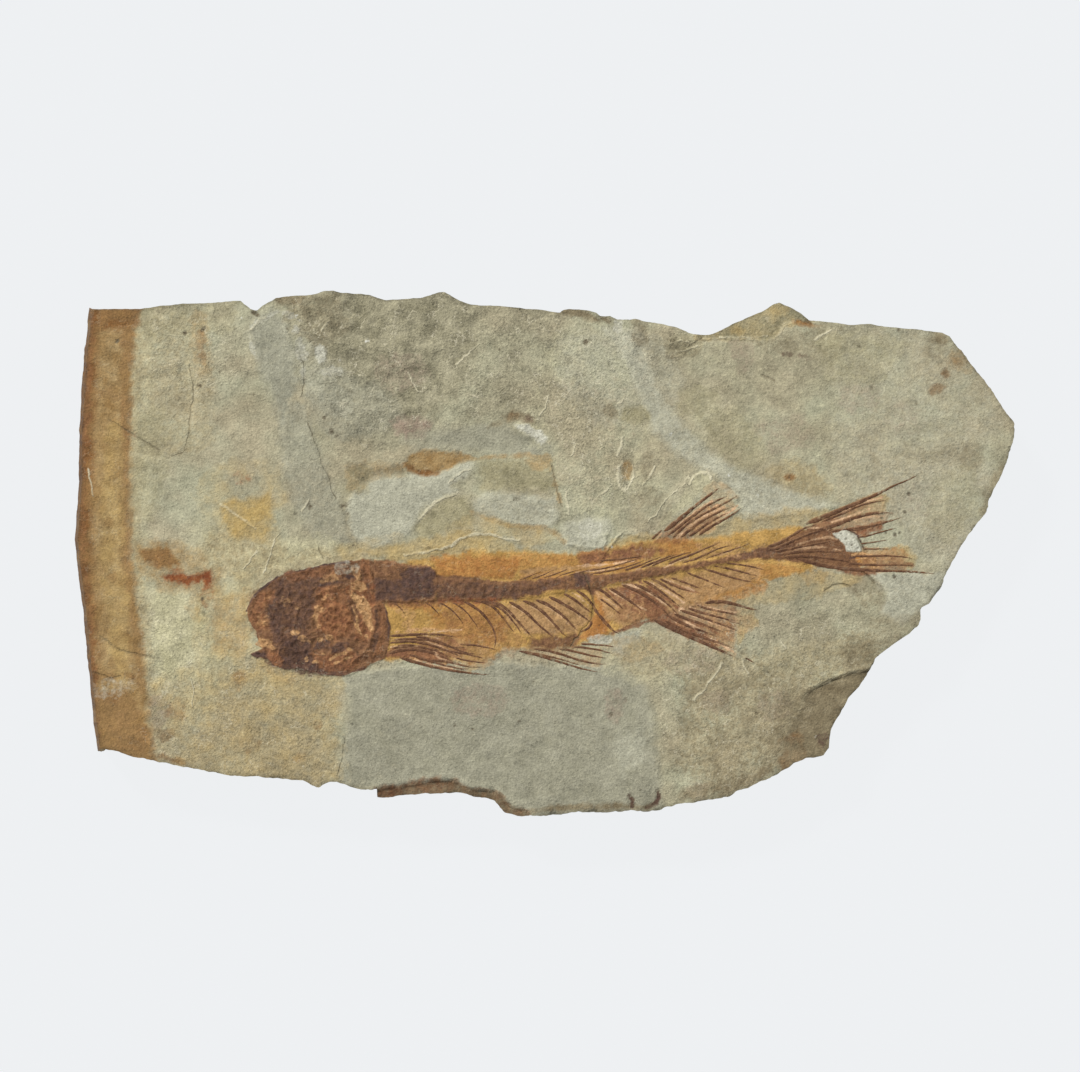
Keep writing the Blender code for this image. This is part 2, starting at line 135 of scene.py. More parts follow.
# What stains the stone, from the lowest layer to the highest. Each kind is named for what it looks like.
STAINS = {
    "khaki": [
        area(2.5, 0.9, (275, 290), (430, 285), (480, 295), (490, 340), (460, 400), (430, 420), (390, 440),
             (345, 440), (325, 400), (310, 360), (300, 325)),
        area(3.0, 0.5, (470, 290), (550, 310), (545, 380), (500, 430), (460, 410)),
        area(2.0, 0.42, (655, 345), (700, 338), (790, 340), (850, 330), (880, 345), (840, 380), (790, 400),
             (700, 395), (665, 380)),
        area(2.5, 0.45, (730, 600), (800, 585), (870, 610), (880, 650), (800, 690), (740, 700), (700, 670)),
    ],
    "filler": [
        area(1.0, 0.8, (256, 312), (270, 308), (286, 322), (292, 345), (298, 381), (290, 400), (284, 440),
             (273, 400), (256, 362), (247, 335)),
        area(1.2, 0.6, (290, 400), (303, 409), (313, 441), (329, 480), (340, 505), (350, 545), (332, 556),
             (318, 545), (300, 515), (285, 470), (280, 430)),
        area(0.9, 0.6, (430, 440), (470, 428), (505, 428), (530, 440), (548, 445), (550, 456), (500, 452)),
        area(2.0, 0.5, (300, 375), (330, 370), (380, 390), (400, 420), (340, 440), (315, 420)),
    ],
    "grey": [
        area(0.9, 0.85, (345, 676), (365, 672), (400, 668), (500, 662), (560, 668), (615, 664), (648, 690),
             (655, 730), (658, 770), (662, 815), (540, 830), (500, 800), (440, 790), (380, 790), (344, 786),
             (338, 776), (345, 740), (350, 710)),
        area(1.2, 0.6, (403, 440), (430, 430), (470, 428), (505, 428), (530, 440), (548, 445), (550, 456),
             (500, 452), (470, 452), (415, 450)),
    ],
    "cream": [
        area(2.5, 0.92, (143, 588), (200, 592), (215, 610), (205, 670), (160, 690), (150, 640)),
        area(4.0, 0.62, (196, 530), (230, 530), (245, 600), (245, 640), (205, 700), (180, 700)),
        area(3.0, 0.2, (665, 352), (705, 360), (830, 340), (930, 350), (930, 470), (840, 490), (780, 450),
             (720, 410), (680, 385)),
        area(0.6, 0.55, (658, 530), (690, 488), (700, 474), (710, 474), (712, 482), (704, 490), (672, 518)),
        area(1.5, 0.45, (138, 312), (150, 312), (148, 400), (145, 540), (160, 600), (150, 620), (138, 560),
             (134, 460), (134, 380)),
        area(4.0, 0.3, (560, 350), (640, 400), (650, 480), (600, 510), (560, 470), (540, 420)),
        area(2.5, 0.36, (595, 642), (640, 632), (660, 640), (690, 660), (650, 680), (610, 668)),
        area(1.0, 0.7, (815, 345), (830, 332), (850, 335), (835, 350)),
        area(2.5, 0.7, (196, 538), (262, 542), (330, 545), (352, 552), (300, 566), (262, 580), (240, 604),
             (215, 596)),
        area(0.7, 0.42, (667, 340), (684, 335), (703, 339), (700, 351), (684, 356), (668, 351)),
    ],
    "tan": [
        area(1.6, 0.55, (120, 290), (140, 290), (137, 400), (137, 540), (143, 600), (155, 690), (162, 775),
             (140, 775), (120, 540)),
        area(4.0, 0.5, (155, 705), (240, 665), (325, 690), (335, 775), (240, 772), (160, 755)),
        area(4.0, 0.4, (690, 670), (760, 665), (860, 645), (872, 662), (803, 700), (780, 760), (720, 780),
             (690, 760), (700, 700)),
        area(1.6, 0.6, (768, 470), (790, 462), (815, 470), (830, 490), (810, 498), (785, 488)),
        area(1.8, 0.56, (222, 530), (275, 534), (285, 560), (262, 578), (225, 572), (200, 552)),
        area(1.5, 0.5, (240, 580), (270, 562), (320, 552), (360, 548), (350, 560), (270, 578), (250, 598)),
        area(2.5, 0.36, (600, 640), (660, 640), (700, 660), (640, 668)),
        area(3.0, 0.4, (142, 325), (200, 325), (205, 440), (148, 452)),
        area(2.5, 0.4, (700, 700), (780, 690), (790, 720), (740, 770), (700, 760)),
    ],
    "chalk": [
        area(1.2, 0.4, (300, 330), (318, 345), (330, 380), (350, 400), (345, 420), (320, 410), (303, 380)),
        area(0.6, 0.85, (346, 505), (356, 487), (372, 480), (403, 476), (430, 475), (446, 470), (460, 464),
             (475, 463), (468, 478), (452, 486), (462, 491), (445, 499), (430, 509), (420, 521), (412, 532),
             (395, 543), (366, 550), (352, 535)),
        area(0.8, 0.7, (470, 503), (490, 492), (520, 494), (552, 500), (560, 518), (553, 528), (520, 527),
             (500, 523), (485, 515), (473, 512)),
        area(1.2, 0.72, (604, 330), (640, 328), (652, 370), (668, 405), (690, 435), (706, 452), (760, 480),
             (812, 500), (836, 507), (815, 514), (745, 522), (739, 500), (716, 476), (680, 456), (655, 432),
             (640, 400), (625, 360)),
        area(0.7, 0.8, (866, 573), (900, 574), (950, 574), (937, 593), (921, 609), (911, 619), (901, 626),
             (890, 620), (879, 614), (889, 601), (882, 589)),
        area(0.9, 0.8, (560, 527), (576, 521), (596, 517), (608, 520), (611, 530), (607, 541), (603, 549),
             (585, 550), (567, 546)),
        area(0.7, 0.7, (597, 641), (612, 633), (640, 632), (640, 640), (610, 650)),
        area(2.5, 0.45, (620, 340), (660, 345), (680, 385), (672, 400), (650, 395), (632, 370)),
        area(1.0, 0.8, (612, 640), (624, 640), (622, 655), (612, 650)),
        area(1.2, 0.6, (615, 740), (640, 730), (645, 760), (622, 775)),
        area(5.0, 0.32, (860, 340), (940, 345), (985, 420), (950, 520), (890, 545), (850, 450)),
        area(3.0, 0.4, (565, 345), (600, 340), (612, 370), (640, 400), (600, 420), (570, 390)),
        area(3.0, 0.4, (895, 470), (985, 470), (975, 515), (945, 560), (910, 545)),
        area(3.0, 0.36, (895, 395), (930, 400), (932, 445), (900, 445)),
    ],
    "drab": [
        area(0.5, 0.9, *SPALL),
        area(1.6, 0.55, (783, 696), (806, 694), (796, 725), (786, 760), (762, 772), (768, 735)),
        area(1.2, 0.5, (846, 574), (868, 574), (882, 592), (878, 606), (862, 604), (846, 588)),
        area(2.0, 0.42, (880, 622), (912, 622), (905, 636), (880, 652), (862, 640)),
        stroke(1.0, 0.45, 6, (690, 800), (720, 797), (745, 787), (770, 776), (800, 760)),
        spot(0.8, 0.45, 647, 468, 5, 13),
        area(1.8, 0.45, (846, 640), (872, 640), (880, 655), (866, 671), (848, 672)),
        spot(1.2, 0.5, 972, 458, 10, 13),
        spot(0.8, 0.5, 960, 361, 5, 4),
        spot(0.7, 0.45, 948, 372, 4, 3),
        stroke(0.7, 0.42, 5, (928, 393), (938, 391), (944, 386)),
        area(0.4, 0.85, *SHELF),
        stroke(0.4, 0.9, 4, (530, 811), (560, 808), (590, 806), (620, 806), (645, 810)),
        area(0.6, 0.7, (272, 296), (305, 294), (300, 303), (288, 306), (278, 303)),
        area(1.6, 0.4, (296, 300), (335, 296), (345, 330), (318, 345), (300, 330)),
        area(1.4, 0.36, (940, 336), (960, 350), (950, 372), (930, 350)),
        stroke(0.5, 0.8, 8, (560, 310), (578, 312), (592, 318), (600, 322)),
        stroke(0.4, 0.7, 5, (598, 317), (612, 321)),
        spot(0.5, 0.6, 611, 411, 7, 7),
        stroke(0.5, 0.5, 4, (490, 426), (500, 425)),
        area(0.8, 0.5, (632, 318), (648, 321), (645, 345), (636, 345)),
        stroke(1.2, 0.6, 12, (684, 794), (702, 790), (722, 787), (745, 779), (768, 770)),
        stroke(1.0, 0.55, 8, (984, 514), (993, 492), (1003, 468)),
        area(4.0, 0.38, (690, 690), (800, 690), (790, 770), (720, 785), (676, 760)),
        stroke(0.8, 0.8, 10, (686, 796), (702, 792), (722, 789), (745, 781), (770, 770), (800, 757)),
        spot(0.8, 0.95, 820, 741, 7, 7),
        area(1.4, 0.6, (842, 646), (872, 642), (876, 658), (864, 668), (846, 668)),
        area(0.5, 0.66, (346, 463), (366, 463), (368, 468), (402, 467), (403, 474), (372, 476), (366, 484),
             (360, 494), (352, 492), (348, 480)),
        area(0.4, 0.8, (504, 417), (512, 411), (524, 413), (536, 418), (535, 425), (520, 422), (508, 423)),
        area(0.8, 0.45, (668, 340), (686, 336), (703, 339), (700, 352), (684, 357), (668, 352)),
        spot(1.0, 0.85, 940, 339, 8, 8),
        stroke(0.5, 0.5, 3, (668, 356), (682, 357), (698, 353)),
        stroke(0.6, 0.62, 7, (680, 799), (700, 796), (716, 794), (732, 790)),
        spot(0.6, 0.5, 821, 740, 7, 7),
        area(2.0, 0.38, (735, 330), (765, 314), (790, 310), (808, 322), (840, 336), (838, 352), (790, 350)),
        spot(2.5, 0.38, 650, 510, 16, 14),
        area(0.6, 0.5, (283, 311), (298, 311), (299, 321), (284, 321)),
        area(1.0, 0.36, (860, 646), (876, 646), (876, 666), (858, 668)),
        stroke(0.5, 0.85, 5, (532, 811), (560, 809), (600, 808), (635, 808), (652, 808)),
    ],
    "mauve": [
        spot(1.0, 0.68, 411, 427, 20, 9),
        area(1.0, 0.4, (733, 340), (750, 342), (752, 362), (744, 372), (736, 358)),
        spot(2.0, 0.4, 400, 372, 22, 14),
        area(4.0, 0.24, (560, 400), (610, 395), (620, 440), (600, 490), (570, 470)),
        area(2.0, 0.35, (760, 430), (800, 420), (810, 440), (780, 450)),
        spot(1.4, 0.45, 716, 702, 13, 8),
        spot(1.6, 0.42, 774, 706, 14, 12),
        spot(1.2, 0.5, 698, 791, 9, 6),
        spot(1.6, 0.36, 690, 664, 22, 8),
        spot(1.0, 0.42, 614, 706, 8, 16),
        spot(1.4, 0.4, 480, 700, 26, 14),
        spot(1.2, 0.4, 160, 712, 10, 14),
        spot(2.0, 0.3, 905, 420, 14, 10),
        spot(2.0, 0.26, 925, 500, 12, 10),
        spot(2.0, 0.36, 860, 400, 16, 10),
        spot(1.6, 0.34, 720, 560, 8, 5),
    ],
    "olive": [
        spot(0.6, 0.7, 636, 416, 15, 9),
        area(1.5, 0.5, (680, 394), (700, 388), (716, 392), (717, 410), (700, 418), (684, 412)),
        area(2.0, 0.55, (704, 420), (735, 412), (758, 440), (764, 462), (740, 468), (716, 448)),
        area(1.2, 0.75, (478, 461), (552, 459), (556, 490), (520, 492), (480, 490)),
        area(1.2, 0.75, (414, 530), (424, 512), (445, 499), (470, 500), (474, 514), (470, 526), (445, 534),
             (425, 545)),
        area(0.5, 0.6, *TONGUE),
        area(1.5, 0.5, (140, 420), (160, 410), (165, 470), (150, 520), (136, 500)),
        area(2.0, 0.45, (820, 340), (860, 335), (900, 345), (880, 380), (830, 375)),
        area(2.0, 0.4, (940, 480), (970, 470), (975, 510), (945, 540), (930, 520)),
        area(1.5, 0.45, (140, 310), (180, 306), (235, 305), (230, 330), (170, 335), (142, 335)),
        area(1.5, 0.5, (350, 470), (370, 466), (366, 490), (348, 492)),
    ],
    "rust": [
        area(0.9, 0.97, (60, 290), (135, 290), (133, 340), (129, 400), (130, 463), (130, 543), (135, 589),
             (142, 637), (147, 681), (151, 738), (154, 775), (60, 775)),
        area(0.8, 0.85, (137, 549), (158, 545), (176, 553), (184, 564), (166, 571), (150, 567), (139, 560)),
        area(1.6, 0.56, (136, 546), (182, 546), (204, 562), (200, 572), (160, 578), (138, 574)),
        area(1.8, 0.56, (214, 600), (245, 594), (247, 640), (240, 655), (216, 650)),
        area(0.45, 0.85, *LENS),
        area(1.4, 0.55, (156, 570), (200, 565), (222, 572), (221, 594), (208, 604), (192, 590), (160, 590)),
        stroke(0.4, 0.55, 3, (476, 459), (500, 457), (525, 456), (548, 457)),
        stroke(0.4, 0.6, 2.5, (549, 460), (552, 475), (557, 490), (561, 503)),
        stroke(0.6, 0.62, 3.5, (472, 514), (495, 521), (510, 527), (527, 528), (545, 529), (556, 534), (564, 542)),
        area(1.2, 0.4, (600, 642), (640, 640), (660, 650), (630, 660)),
        area(0.8, 0.5, (800, 574), (826, 574), (822, 584), (806, 582)),
        stroke(1.4, 0.36, 12, (197, 318), (201, 345), (203, 370)),
        spot(1.4, 0.36, 962, 361, 9, 7),
        spot(1.0, 0.42, 240, 681, 5, 9),
        stroke(1.0, 0.42, 6, (196, 618), (192, 606), (200, 596)),
        area(1.0, 0.45, (262, 660), (285, 672), (302, 676), (290, 684), (268, 674)),
        area(0.9, 0.3, (347, 466), (380, 464), (400, 468), (404, 476), (380, 478), (350, 490)),
        spot(0.5, 0.66, 627, 471, 5, 10),
        spot(0.6, 0.55, 538, 463, 13, 7),
    ],
    "umber": [
        stroke(1.0, 0.48, 9, (128, 305), (125, 400), (125, 450)),
        stroke(1.0, 0.42, 8, (125, 450), (126, 545), (131, 590), (138, 640), (143, 690)),
        area(1.0, 0.6, (85, 300), (140, 303), (138, 325), (88, 332)),
        stroke(1.6, 0.68, 20, (92, 305), (84, 400), (80, 540), (90, 640), (94, 690)),
        stroke(0.5, 0.85, 5, (88, 300), (82, 390), (77, 480), (76, 540), (84, 620), (92, 690), (98, 752)),
        area(1.2, 0.5, (92, 694), (130, 694), (153, 738), (155, 770), (94, 750)),
        stroke(1.0, 0.4, 5, (134, 612), (137, 640), (143, 665)),
        spot(0.8, 0.4, 110, 395, 9, 6),
        spot(0.8, 0.4, 116, 470, 12, 8),
        spot(0.6, 0.45, 108, 524, 4, 4),
        spot(0.6, 0.45, 112, 578, 5, 4),
        stroke(0.6, 0.45, 4, (98, 676), (112, 679), (124, 676), (140, 680)),
        area(0.8, 0.6, (142, 552), (160, 548), (174, 556), (180, 564), (160, 569), (145, 564)),
        stroke(0.4, 0.6, 5, (404, 464), (410, 471), (424, 474), (440, 473)),
        area(1.4, 0.24, (783, 752), (800, 742), (816, 750), (800, 764)),
        stroke(0.4, 0.75, 6, (795, 321), (803, 323), (812, 325), (820, 326)),
        spot(0.4, 0.42, 514, 417, 8, 3),
        spot(0.5, 0.7, 790, 478, 5, 4),
        spot(0.3, 0.6, 412, 469, 3, 2.5),
        spot(0.7, 0.42, 199, 340, 4, 8),
        spot(0.7, 0.42, 202, 360, 4, 6),
        spot(0.7, 0.45, 240, 680, 2.5, 6),
        spot(0.9, 0.42, 250, 745, 10, 6),
        spot(0.9, 0.42, 178, 712, 8, 10),
        spot(0.8, 0.4, 164, 735, 8, 5),
        stroke(0.6, 0.5, 4, (162, 757), (175, 761), (186, 764)),
        spot(0.7, 0.42, 300, 757, 5, 4),
        spot(0.7, 0.4, 318, 724, 4, 3),
        spot(0.6, 0.4, 214, 625, 4, 3),
        spot(1.0, 0.4, 960, 360, 5, 4),
        spot(0.8, 0.42, 947, 373, 3, 2.5),
        spot(1.0, 0.4, 937, 390, 5, 3),
        area(1.2, 0.36, (780, 742), (802, 738), (806, 762), (782, 770)),
        stroke(0.8, 0.46, 10, (88, 650), (92, 690), (96, 745)),
    ],
    "ochre": [
        area(1.1, 0.72, (221, 506), (234, 499), (252, 500), (271, 494), (273, 512), (273, 532), (262, 543),
             (250, 538), (238, 540), (226, 530)),
        area(3.0, 0.3, (206, 498), (214, 480), (236, 470), (270, 472), (275, 500), (240, 505), (218, 530),
             (206, 520)),
        spot(1.0, 0.55, 262, 522, 9, 9),
        area(0.8, 0.3, *TONGUE),
        spot(0.8, 0.45, 782, 311, 9, 4),
        spot(0.8, 0.5, 738, 329, 7, 4),
        stroke(1.3, 0.42, 17, (114, 430), (113, 480), (112, 560), (120, 640), (124, 676)),
        area(1.0, 0.6, (360, 553), (400, 545), (428, 540), (447, 535), (472, 531), (495, 536), (520, 550),
             (560, 556), (575, 560), (440, 566), (390, 560)),
        area(0.9, 0.6, (609, 549), (620, 540), (640, 537), (660, 537), (660, 560), (600, 560)),
        area(1.2, 0.4, (262, 664), (300, 674), (340, 682), (300, 688), (262, 682), (250, 672)),
        area(1.6, 0.36, (470, 520), (500, 526), (530, 532), (548, 540), (520, 543), (470, 535), (440, 545),
             (450, 530)),
        area(1.4, 0.5, (692, 530), (743, 521), (810, 512), (830, 513), (812, 545), (700, 550)),
        area(1.2, 0.4, (700, 600), (760, 585), (800, 578), (830, 575), (860, 580), (800, 600), (730, 606)),
        area(0.6, 0.5, (736, 612), (752, 610), (757, 624), (746, 632), (738, 645)),
        area(0.6, 0.4, (455, 655), (488, 655), (490, 664), (470, 670)),
        area(0.8, 0.5, (880, 552), (905, 550), (914, 560), (910, 568), (885, 566)),
        area(4.0, 0.32, (165, 690), (240, 660), (325, 690), (325, 775), (200, 765)),
        area(3.0, 0.3, (205, 600), (250, 585), (245, 610), (250, 640), (262, 668), (230, 690), (200, 680)),
        area(1.6, 0.36, (340, 550), (372, 544), (400, 540), (404, 556), (372, 560), (350, 558)),
        area(0.7, 0.5, (846, 508), (880, 496), (888, 500), (886, 512), (862, 518), (846, 516)),
    ],
    "film": [
        area(0.5, 0.97, (384, 566), (437, 560), (470, 552), (500, 552), (560, 555), (600, 552), (620, 546),
             (655, 540), (700, 540), (743, 533), (800, 527), (812, 535), (815, 570), (787, 577), (765, 582),
             (741, 593), (711, 602), (661, 617), (640, 620), (625, 630), (609, 636), (593, 641), (575, 648),
             (553, 650), (518, 650), (503, 650), (494, 658), (470, 664), (430, 662), (384, 661)),
    ],
    "orange": [
        area(0.9, 0.72, (433, 560), (470, 557), (520, 558), (520, 567), (514, 580), (437, 580)),
        area(0.9, 0.5, (520, 557), (575, 558), (600, 556), (640, 560), (640, 571), (590, 577), (520, 583)),
        area(0.7, 0.55, (390, 602), (440, 604), (500, 603), (480, 610), (395, 609)),
        area(1.2, 0.5, (425, 610), (500, 608), (505, 640), (480, 648), (440, 634)),
        area(1.0, 0.6, (684, 588), (735, 578), (765, 574), (766, 588), (735, 600), (694, 612)),
        area(0.8, 0.6, (655, 540), (690, 541), (700, 548), (680, 556), (660, 556)),
        area(0.6, 0.85, (594, 592), (604, 595), (609, 612), (609, 634), (593, 640), (576, 640), (584, 632),
             (592, 622), (597, 610)),
        area(0.4, 0.95, (850, 554), (862, 553), (876, 558), (875, 569), (856, 568)),
        area(0.7, 0.5, (878, 552), (896, 551), (908, 556), (900, 562), (880, 560)),
        area(0.6, 0.5, (742, 568), (780, 565), (800, 572), (770, 580), (745, 578)),
        area(0.6, 0.7, (576, 554), (600, 552), (606, 560), (590, 566), (576, 562)),
        area(1.0, 0.42, (850, 552), (878, 552), (878, 570), (850, 570)),
    ],
    "flesh": [
        area(0.7, 0.85, (500, 606), (530, 603), (576, 598), (590, 612), (588, 624), (576, 634), (556, 637),
             (530, 636), (512, 626)),
        area(0.9, 0.75, (600, 592), (700, 574), (756, 567), (765, 578), (711, 600), (661, 616), (625, 629),
             (606, 618)),
        stroke(0.4, 0.7, 4, (520, 573), (545, 571), (575, 569), (600, 568)),
    ],
    "membrane": [
        area(0.5, 0.4, (430, 636), (460, 640), (492, 654), (484, 670), (455, 671), (430, 664)),
        area(0.6, 0.5, (664, 536), (680, 522), (700, 508), (716, 498), (732, 500), (736, 508), (716, 526),
             (700, 538)),
        area(0.6, 0.42, (700, 500), (706, 488), (716, 483), (728, 488), (737, 498), (726, 502)),
        area(0.8, 0.62, (664, 616), (684, 606), (712, 604), (740, 609), (742, 620), (736, 634), (734, 655),
             (700, 643), (676, 629)),
        area(0.6, 0.5, (728, 616), (750, 618), (757, 626), (742, 636), (732, 632)),
        area(0.4, 0.5, (516, 650), (540, 647), (580, 648), (600, 652), (600, 668), (560, 661), (530, 655)),
        area(0.7, 0.5, (812, 524), (850, 506), (880, 494), (884, 506), (886, 514), (878, 522), (860, 526),
             (840, 530), (820, 534)),
        area(0.6, 0.5, (862, 552), (892, 554), (906, 560), (906, 571), (863, 571)),
    ],
    "brown": [
        area(0.8, 0.75, (578, 556), (600, 553), (625, 548), (655, 545), (664, 552), (650, 560), (600, 564),
             (580, 564)),
        area(0.4, 0.85, (384, 653), (400, 646), (424, 648), (446, 654), (452, 664), (430, 664), (384, 657)),
        area(0.5, 0.68, (414, 637), (440, 637), (458, 641), (468, 652), (456, 660), (440, 652), (420, 646)),
        area(0.6, 0.5, (652, 545), (668, 530), (690, 516), (712, 506), (722, 508), (706, 526), (690, 540)),
        area(0.5, 0.55, (812, 524), (836, 513), (862, 502), (872, 500), (868, 508), (850, 516), (826, 528)),
        area(0.6, 0.75, (628, 586), (648, 590), (668, 612), (668, 621), (655, 622), (640, 612), (608, 592)),
        area(0.5, 0.72, (655, 612), (676, 612), (700, 628), (722, 646), (712, 648), (670, 630), (652, 622)),
        area(0.7, 0.45, (676, 612), (700, 606), (728, 606), (736, 612), (732, 640), (712, 640), (690, 628)),
        area(1.4, 0.4, (446, 612), (490, 612), (508, 626), (520, 642), (512, 652), (470, 662), (450, 645)),
        area(0.6, 0.42, (830, 530), (850, 520), (874, 514), (890, 514), (884, 522), (860, 527), (842, 533)),
        area(0.5, 0.5, (864, 556), (888, 556), (902, 562), (906, 572), (864, 571)),
        area(0.3, 0.6, (688, 531), (700, 522), (716, 516), (720, 520), (704, 530), (694, 534)),
        area(0.4, 0.75, (842, 531), (868, 524), (884, 522), (882, 530), (866, 537), (852, 536)),
        stroke(0.15, 0.8, 5, (606, 590), (618, 600), (628, 608), (642, 615)),
        area(0.2, 0.85, (618, 588), (632, 588), (646, 593), (655, 602), (664, 611), (652, 609), (640, 603),
             (628, 597)),
        stroke(0.15, 0.8, 3.5, (640, 583), (652, 590), (662, 597), (672, 604), (678, 610)),
        stroke(0.15, 0.7, 3, (668, 583), (680, 588), (690, 592), (699, 594)),
        stroke(0.2, 0.7, 4, (612, 634), (628, 629), (642, 624), (652, 621)),
        area(0.3, 0.5, (618, 606), (640, 612), (652, 618), (634, 625), (618, 620)),
        stroke(0.15, 0.8, 4.5, (662, 620), (678, 628), (694, 634), (706, 638)),
        stroke(0.15, 0.7, 3, (676, 615), (694, 624), (708, 629), (722, 638)),
        stroke(0.15, 0.6, 3, (690, 614), (708, 619), (722, 623), (736, 628)),
        stroke(0.3, 0.6, 5, (888, 564), (900, 566), (912, 566)),
        area(0.4, 0.7, (772, 546), (798, 533), (822, 521), (838, 514), (842, 522), (820, 533), (800, 542),
             (782, 549)),
        stroke(0.4, 0.7, 6, (838, 571), (856, 573), (874, 574)),
        stroke(1.0, 0.42, 10, (86, 312), (82, 390), (79, 480)),
        stroke(1.0, 0.36, 10, (79, 480), (78, 560), (87, 640), (96, 745)),
        area(0.8, 0.62, (376, 789), (400, 787), (410, 792), (400, 798), (376, 800)),
        area(0.8, 0.5, (410, 784), (440, 780), (455, 783), (440, 790), (415, 792)),
        area(0.5, 0.4, *SHELF),
        area(0.7, 0.75, (376, 599), (437, 598), (480, 601), (500, 601), (480, 604), (400, 605), (378, 605)),
    ],
    "bone": [
        area(0.25, 0.97, (363, 561), (376, 561), (393, 562), (406, 565), (418, 566), (431, 567), (435, 572),
             (438, 580), (437, 592), (436, 601), (401, 603), (374, 602), (366, 585)),
        area(0.3, 0.92, (435, 576), (470, 578), (493, 581), (509, 582), (526, 581), (559, 579), (576, 575),
             (588, 573), (594, 576), (625, 573), (650, 569), (690, 565), (730, 557), (760, 549), (790, 539),
             (812, 529), (842, 531), (850, 550), (860, 570), (838, 570), (810, 566), (790, 562), (760, 560),
             (732, 563), (700, 569), (661, 577), (640, 581), (620, 584), (600, 589), (593, 598), (584, 591),
             (567, 591), (551, 592), (534, 597), (518, 600), (493, 602), (436, 602)),
        area(0.4, 0.8, (531, 640), (545, 637), (560, 638), (577, 635), (580, 641), (573, 648), (553, 650),
             (531, 650)),
        area(0.12, 0.97, (363, 560), (347, 562), (333, 564), (315, 568), (294, 573), (283, 575), (272, 581),
             (260, 591), (252, 600), (247, 609), (248, 616), (251, 625), (257, 633), (259, 642), (263, 649),
             (251, 655), (258, 659), (268, 660), (277, 666), (284, 670), (301, 670), (311, 673), (323, 676),
             (336, 677), (347, 676), (356, 673), (364, 670), (375, 664), (385, 660), (390, 646), (391, 630),
             (388, 614), (384, 605), (376, 598), (372, 575)),
        area(0.9, 0.5, (250, 596), (262, 590), (273, 604), (272, 634), (256, 632)),
        area(0.9, 0.5, (298, 655), (345, 655), (345, 674), (310, 676)),
    ],
    "dark": [
        # The first two strokes are painted shade in the two cracks near the lower edge.
        stroke(0.2, 0.95, 4, (628, 796), (632, 801), (632, 807)),
        stroke(0.2, 0.95, 4.4, (657, 790), (659, 797), (655, 804), (646, 808)),
        area(0.4, 0.7, (400, 575), (412, 568), (431, 568), (435, 575), (433, 588), (420, 592), (402, 590)),
        area(0.5, 0.62, (376, 580), (430, 582), (436, 598), (400, 601), (376, 600)),
        area(0.5, 0.45, (436, 585), (500, 587), (540, 585), (560, 583), (540, 594), (500, 599), (436, 600)),
        area(0.5, 0.62, (574, 576), (582, 573), (588, 576), (590, 584), (584, 590), (576, 586)),
        area(1.5, 0.52, (280, 578), (312, 572), (324, 578), (314, 592), (312, 612), (302, 632), (312, 645),
             (306, 652), (304, 668), (282, 668), (276, 648), (274, 628), (268, 610)),
        area(0.6, 0.62, (268, 604), (280, 602), (284, 616), (280, 640), (272, 632), (266, 616)),
        area(0.7, 0.62, (284, 640), (300, 636), (314, 644), (308, 656), (292, 664), (282, 654)),
        stroke(0.3, 0.55, 3, (266, 606), (274, 596), (284, 588), (298, 584)),
        stroke(0.3, 0.6, 4, (320, 592), (326, 586), (334, 583), (346, 584)),
        stroke(0.2, 0.6, 2, (356, 602), (361, 614), (364, 626)),
        stroke(0.2, 0.6, 2, (349, 602), (353, 614), (356, 626)),
        stroke(0.3, 0.6, 3, (304, 668), (316, 670), (330, 668), (344, 670)),
        stroke(0.3, 0.55, 3, (320, 646), (334, 650), (344, 644), (352, 646)),
        area(0.25, 0.85, (251, 655), (259, 652), (265, 654), (266, 659), (258, 659)),
        stroke(0.15, 0.85, 2.4, (247, 612), (252, 600), (260, 591), (272, 582), (284, 575), (296, 573),
               (314, 569), (331, 565), (350, 563)),
        spot(0.3, 0.8, 322, 588, 4, 3),
        spot(0.3, 0.7, 350, 578, 5, 2.5),
        spot(0.3, 0.75, 361, 590, 2, 2.5),
        area(0.4, 0.65, (330, 648), (340, 645), (346, 650), (340, 656), (332, 655)),
        area(0.4, 0.6, (300, 655), (312, 652), (314, 662), (304, 668)),
        area(0.3, 0.55, (318, 640), (330, 644), (328, 650), (314, 650)),
        stroke(0.2, 0.7, 2.2, (362, 572), (367, 584), (371, 600), (373, 619)),
        stroke(0.2, 0.75, 2.4, (386, 612), (389, 628), (388, 645)),
        stroke(0.5, 0.42, 4, (88, 312), (84, 350), (81, 390), (79, 430), (79, 470), (77, 500), (75, 540)),
        stroke(0.5, 0.36, 4, (75, 545), (80, 580), (84, 612), (90, 670), (95, 720), (99, 748)),
        stroke(0.15, 0.8, 2, (850, 532), (858, 538), (863, 548)),
        stroke(0.15, 0.6, 1.6, (850, 559), (858, 557), (868, 558)),
        stroke(0.2, 0.6, 2.4, (838, 570), (850, 570), (862, 571)),
        stroke(0.2, 0.6, 3, (284, 669), (301, 669), (323, 675), (347, 675), (364, 669)),
        stroke(0.3, 0.5, 5, (376, 612), (378, 632), (374, 650)),
        stroke(0.6, 0.42, 9, (738, 556), (762, 551), (790, 547)),
        stroke(0.35, 0.5, 4.5, (785, 354), (797, 355), (811, 359)),
        spot(0.5, 0.5, 822, 740, 5, 6),
        spot(0.5, 0.4, 526, 419, 8, 3),
        area(0.6, 0.66, (262, 652), (300, 660), (344, 664), (350, 674), (300, 676), (266, 662)),
    ],
    "gleam": [
        stroke(0.12, 0.75, 2.2, (669, 536), (677, 528), (690, 517), (702, 508), (714, 501)),
        stroke(0.12, 0.8, 2.4, (677, 539), (690, 527), (702, 517), (714, 508), (722, 505)),
        stroke(0.12, 0.7, 1.8, (700, 521), (712, 514), (722, 509), (730, 504)),
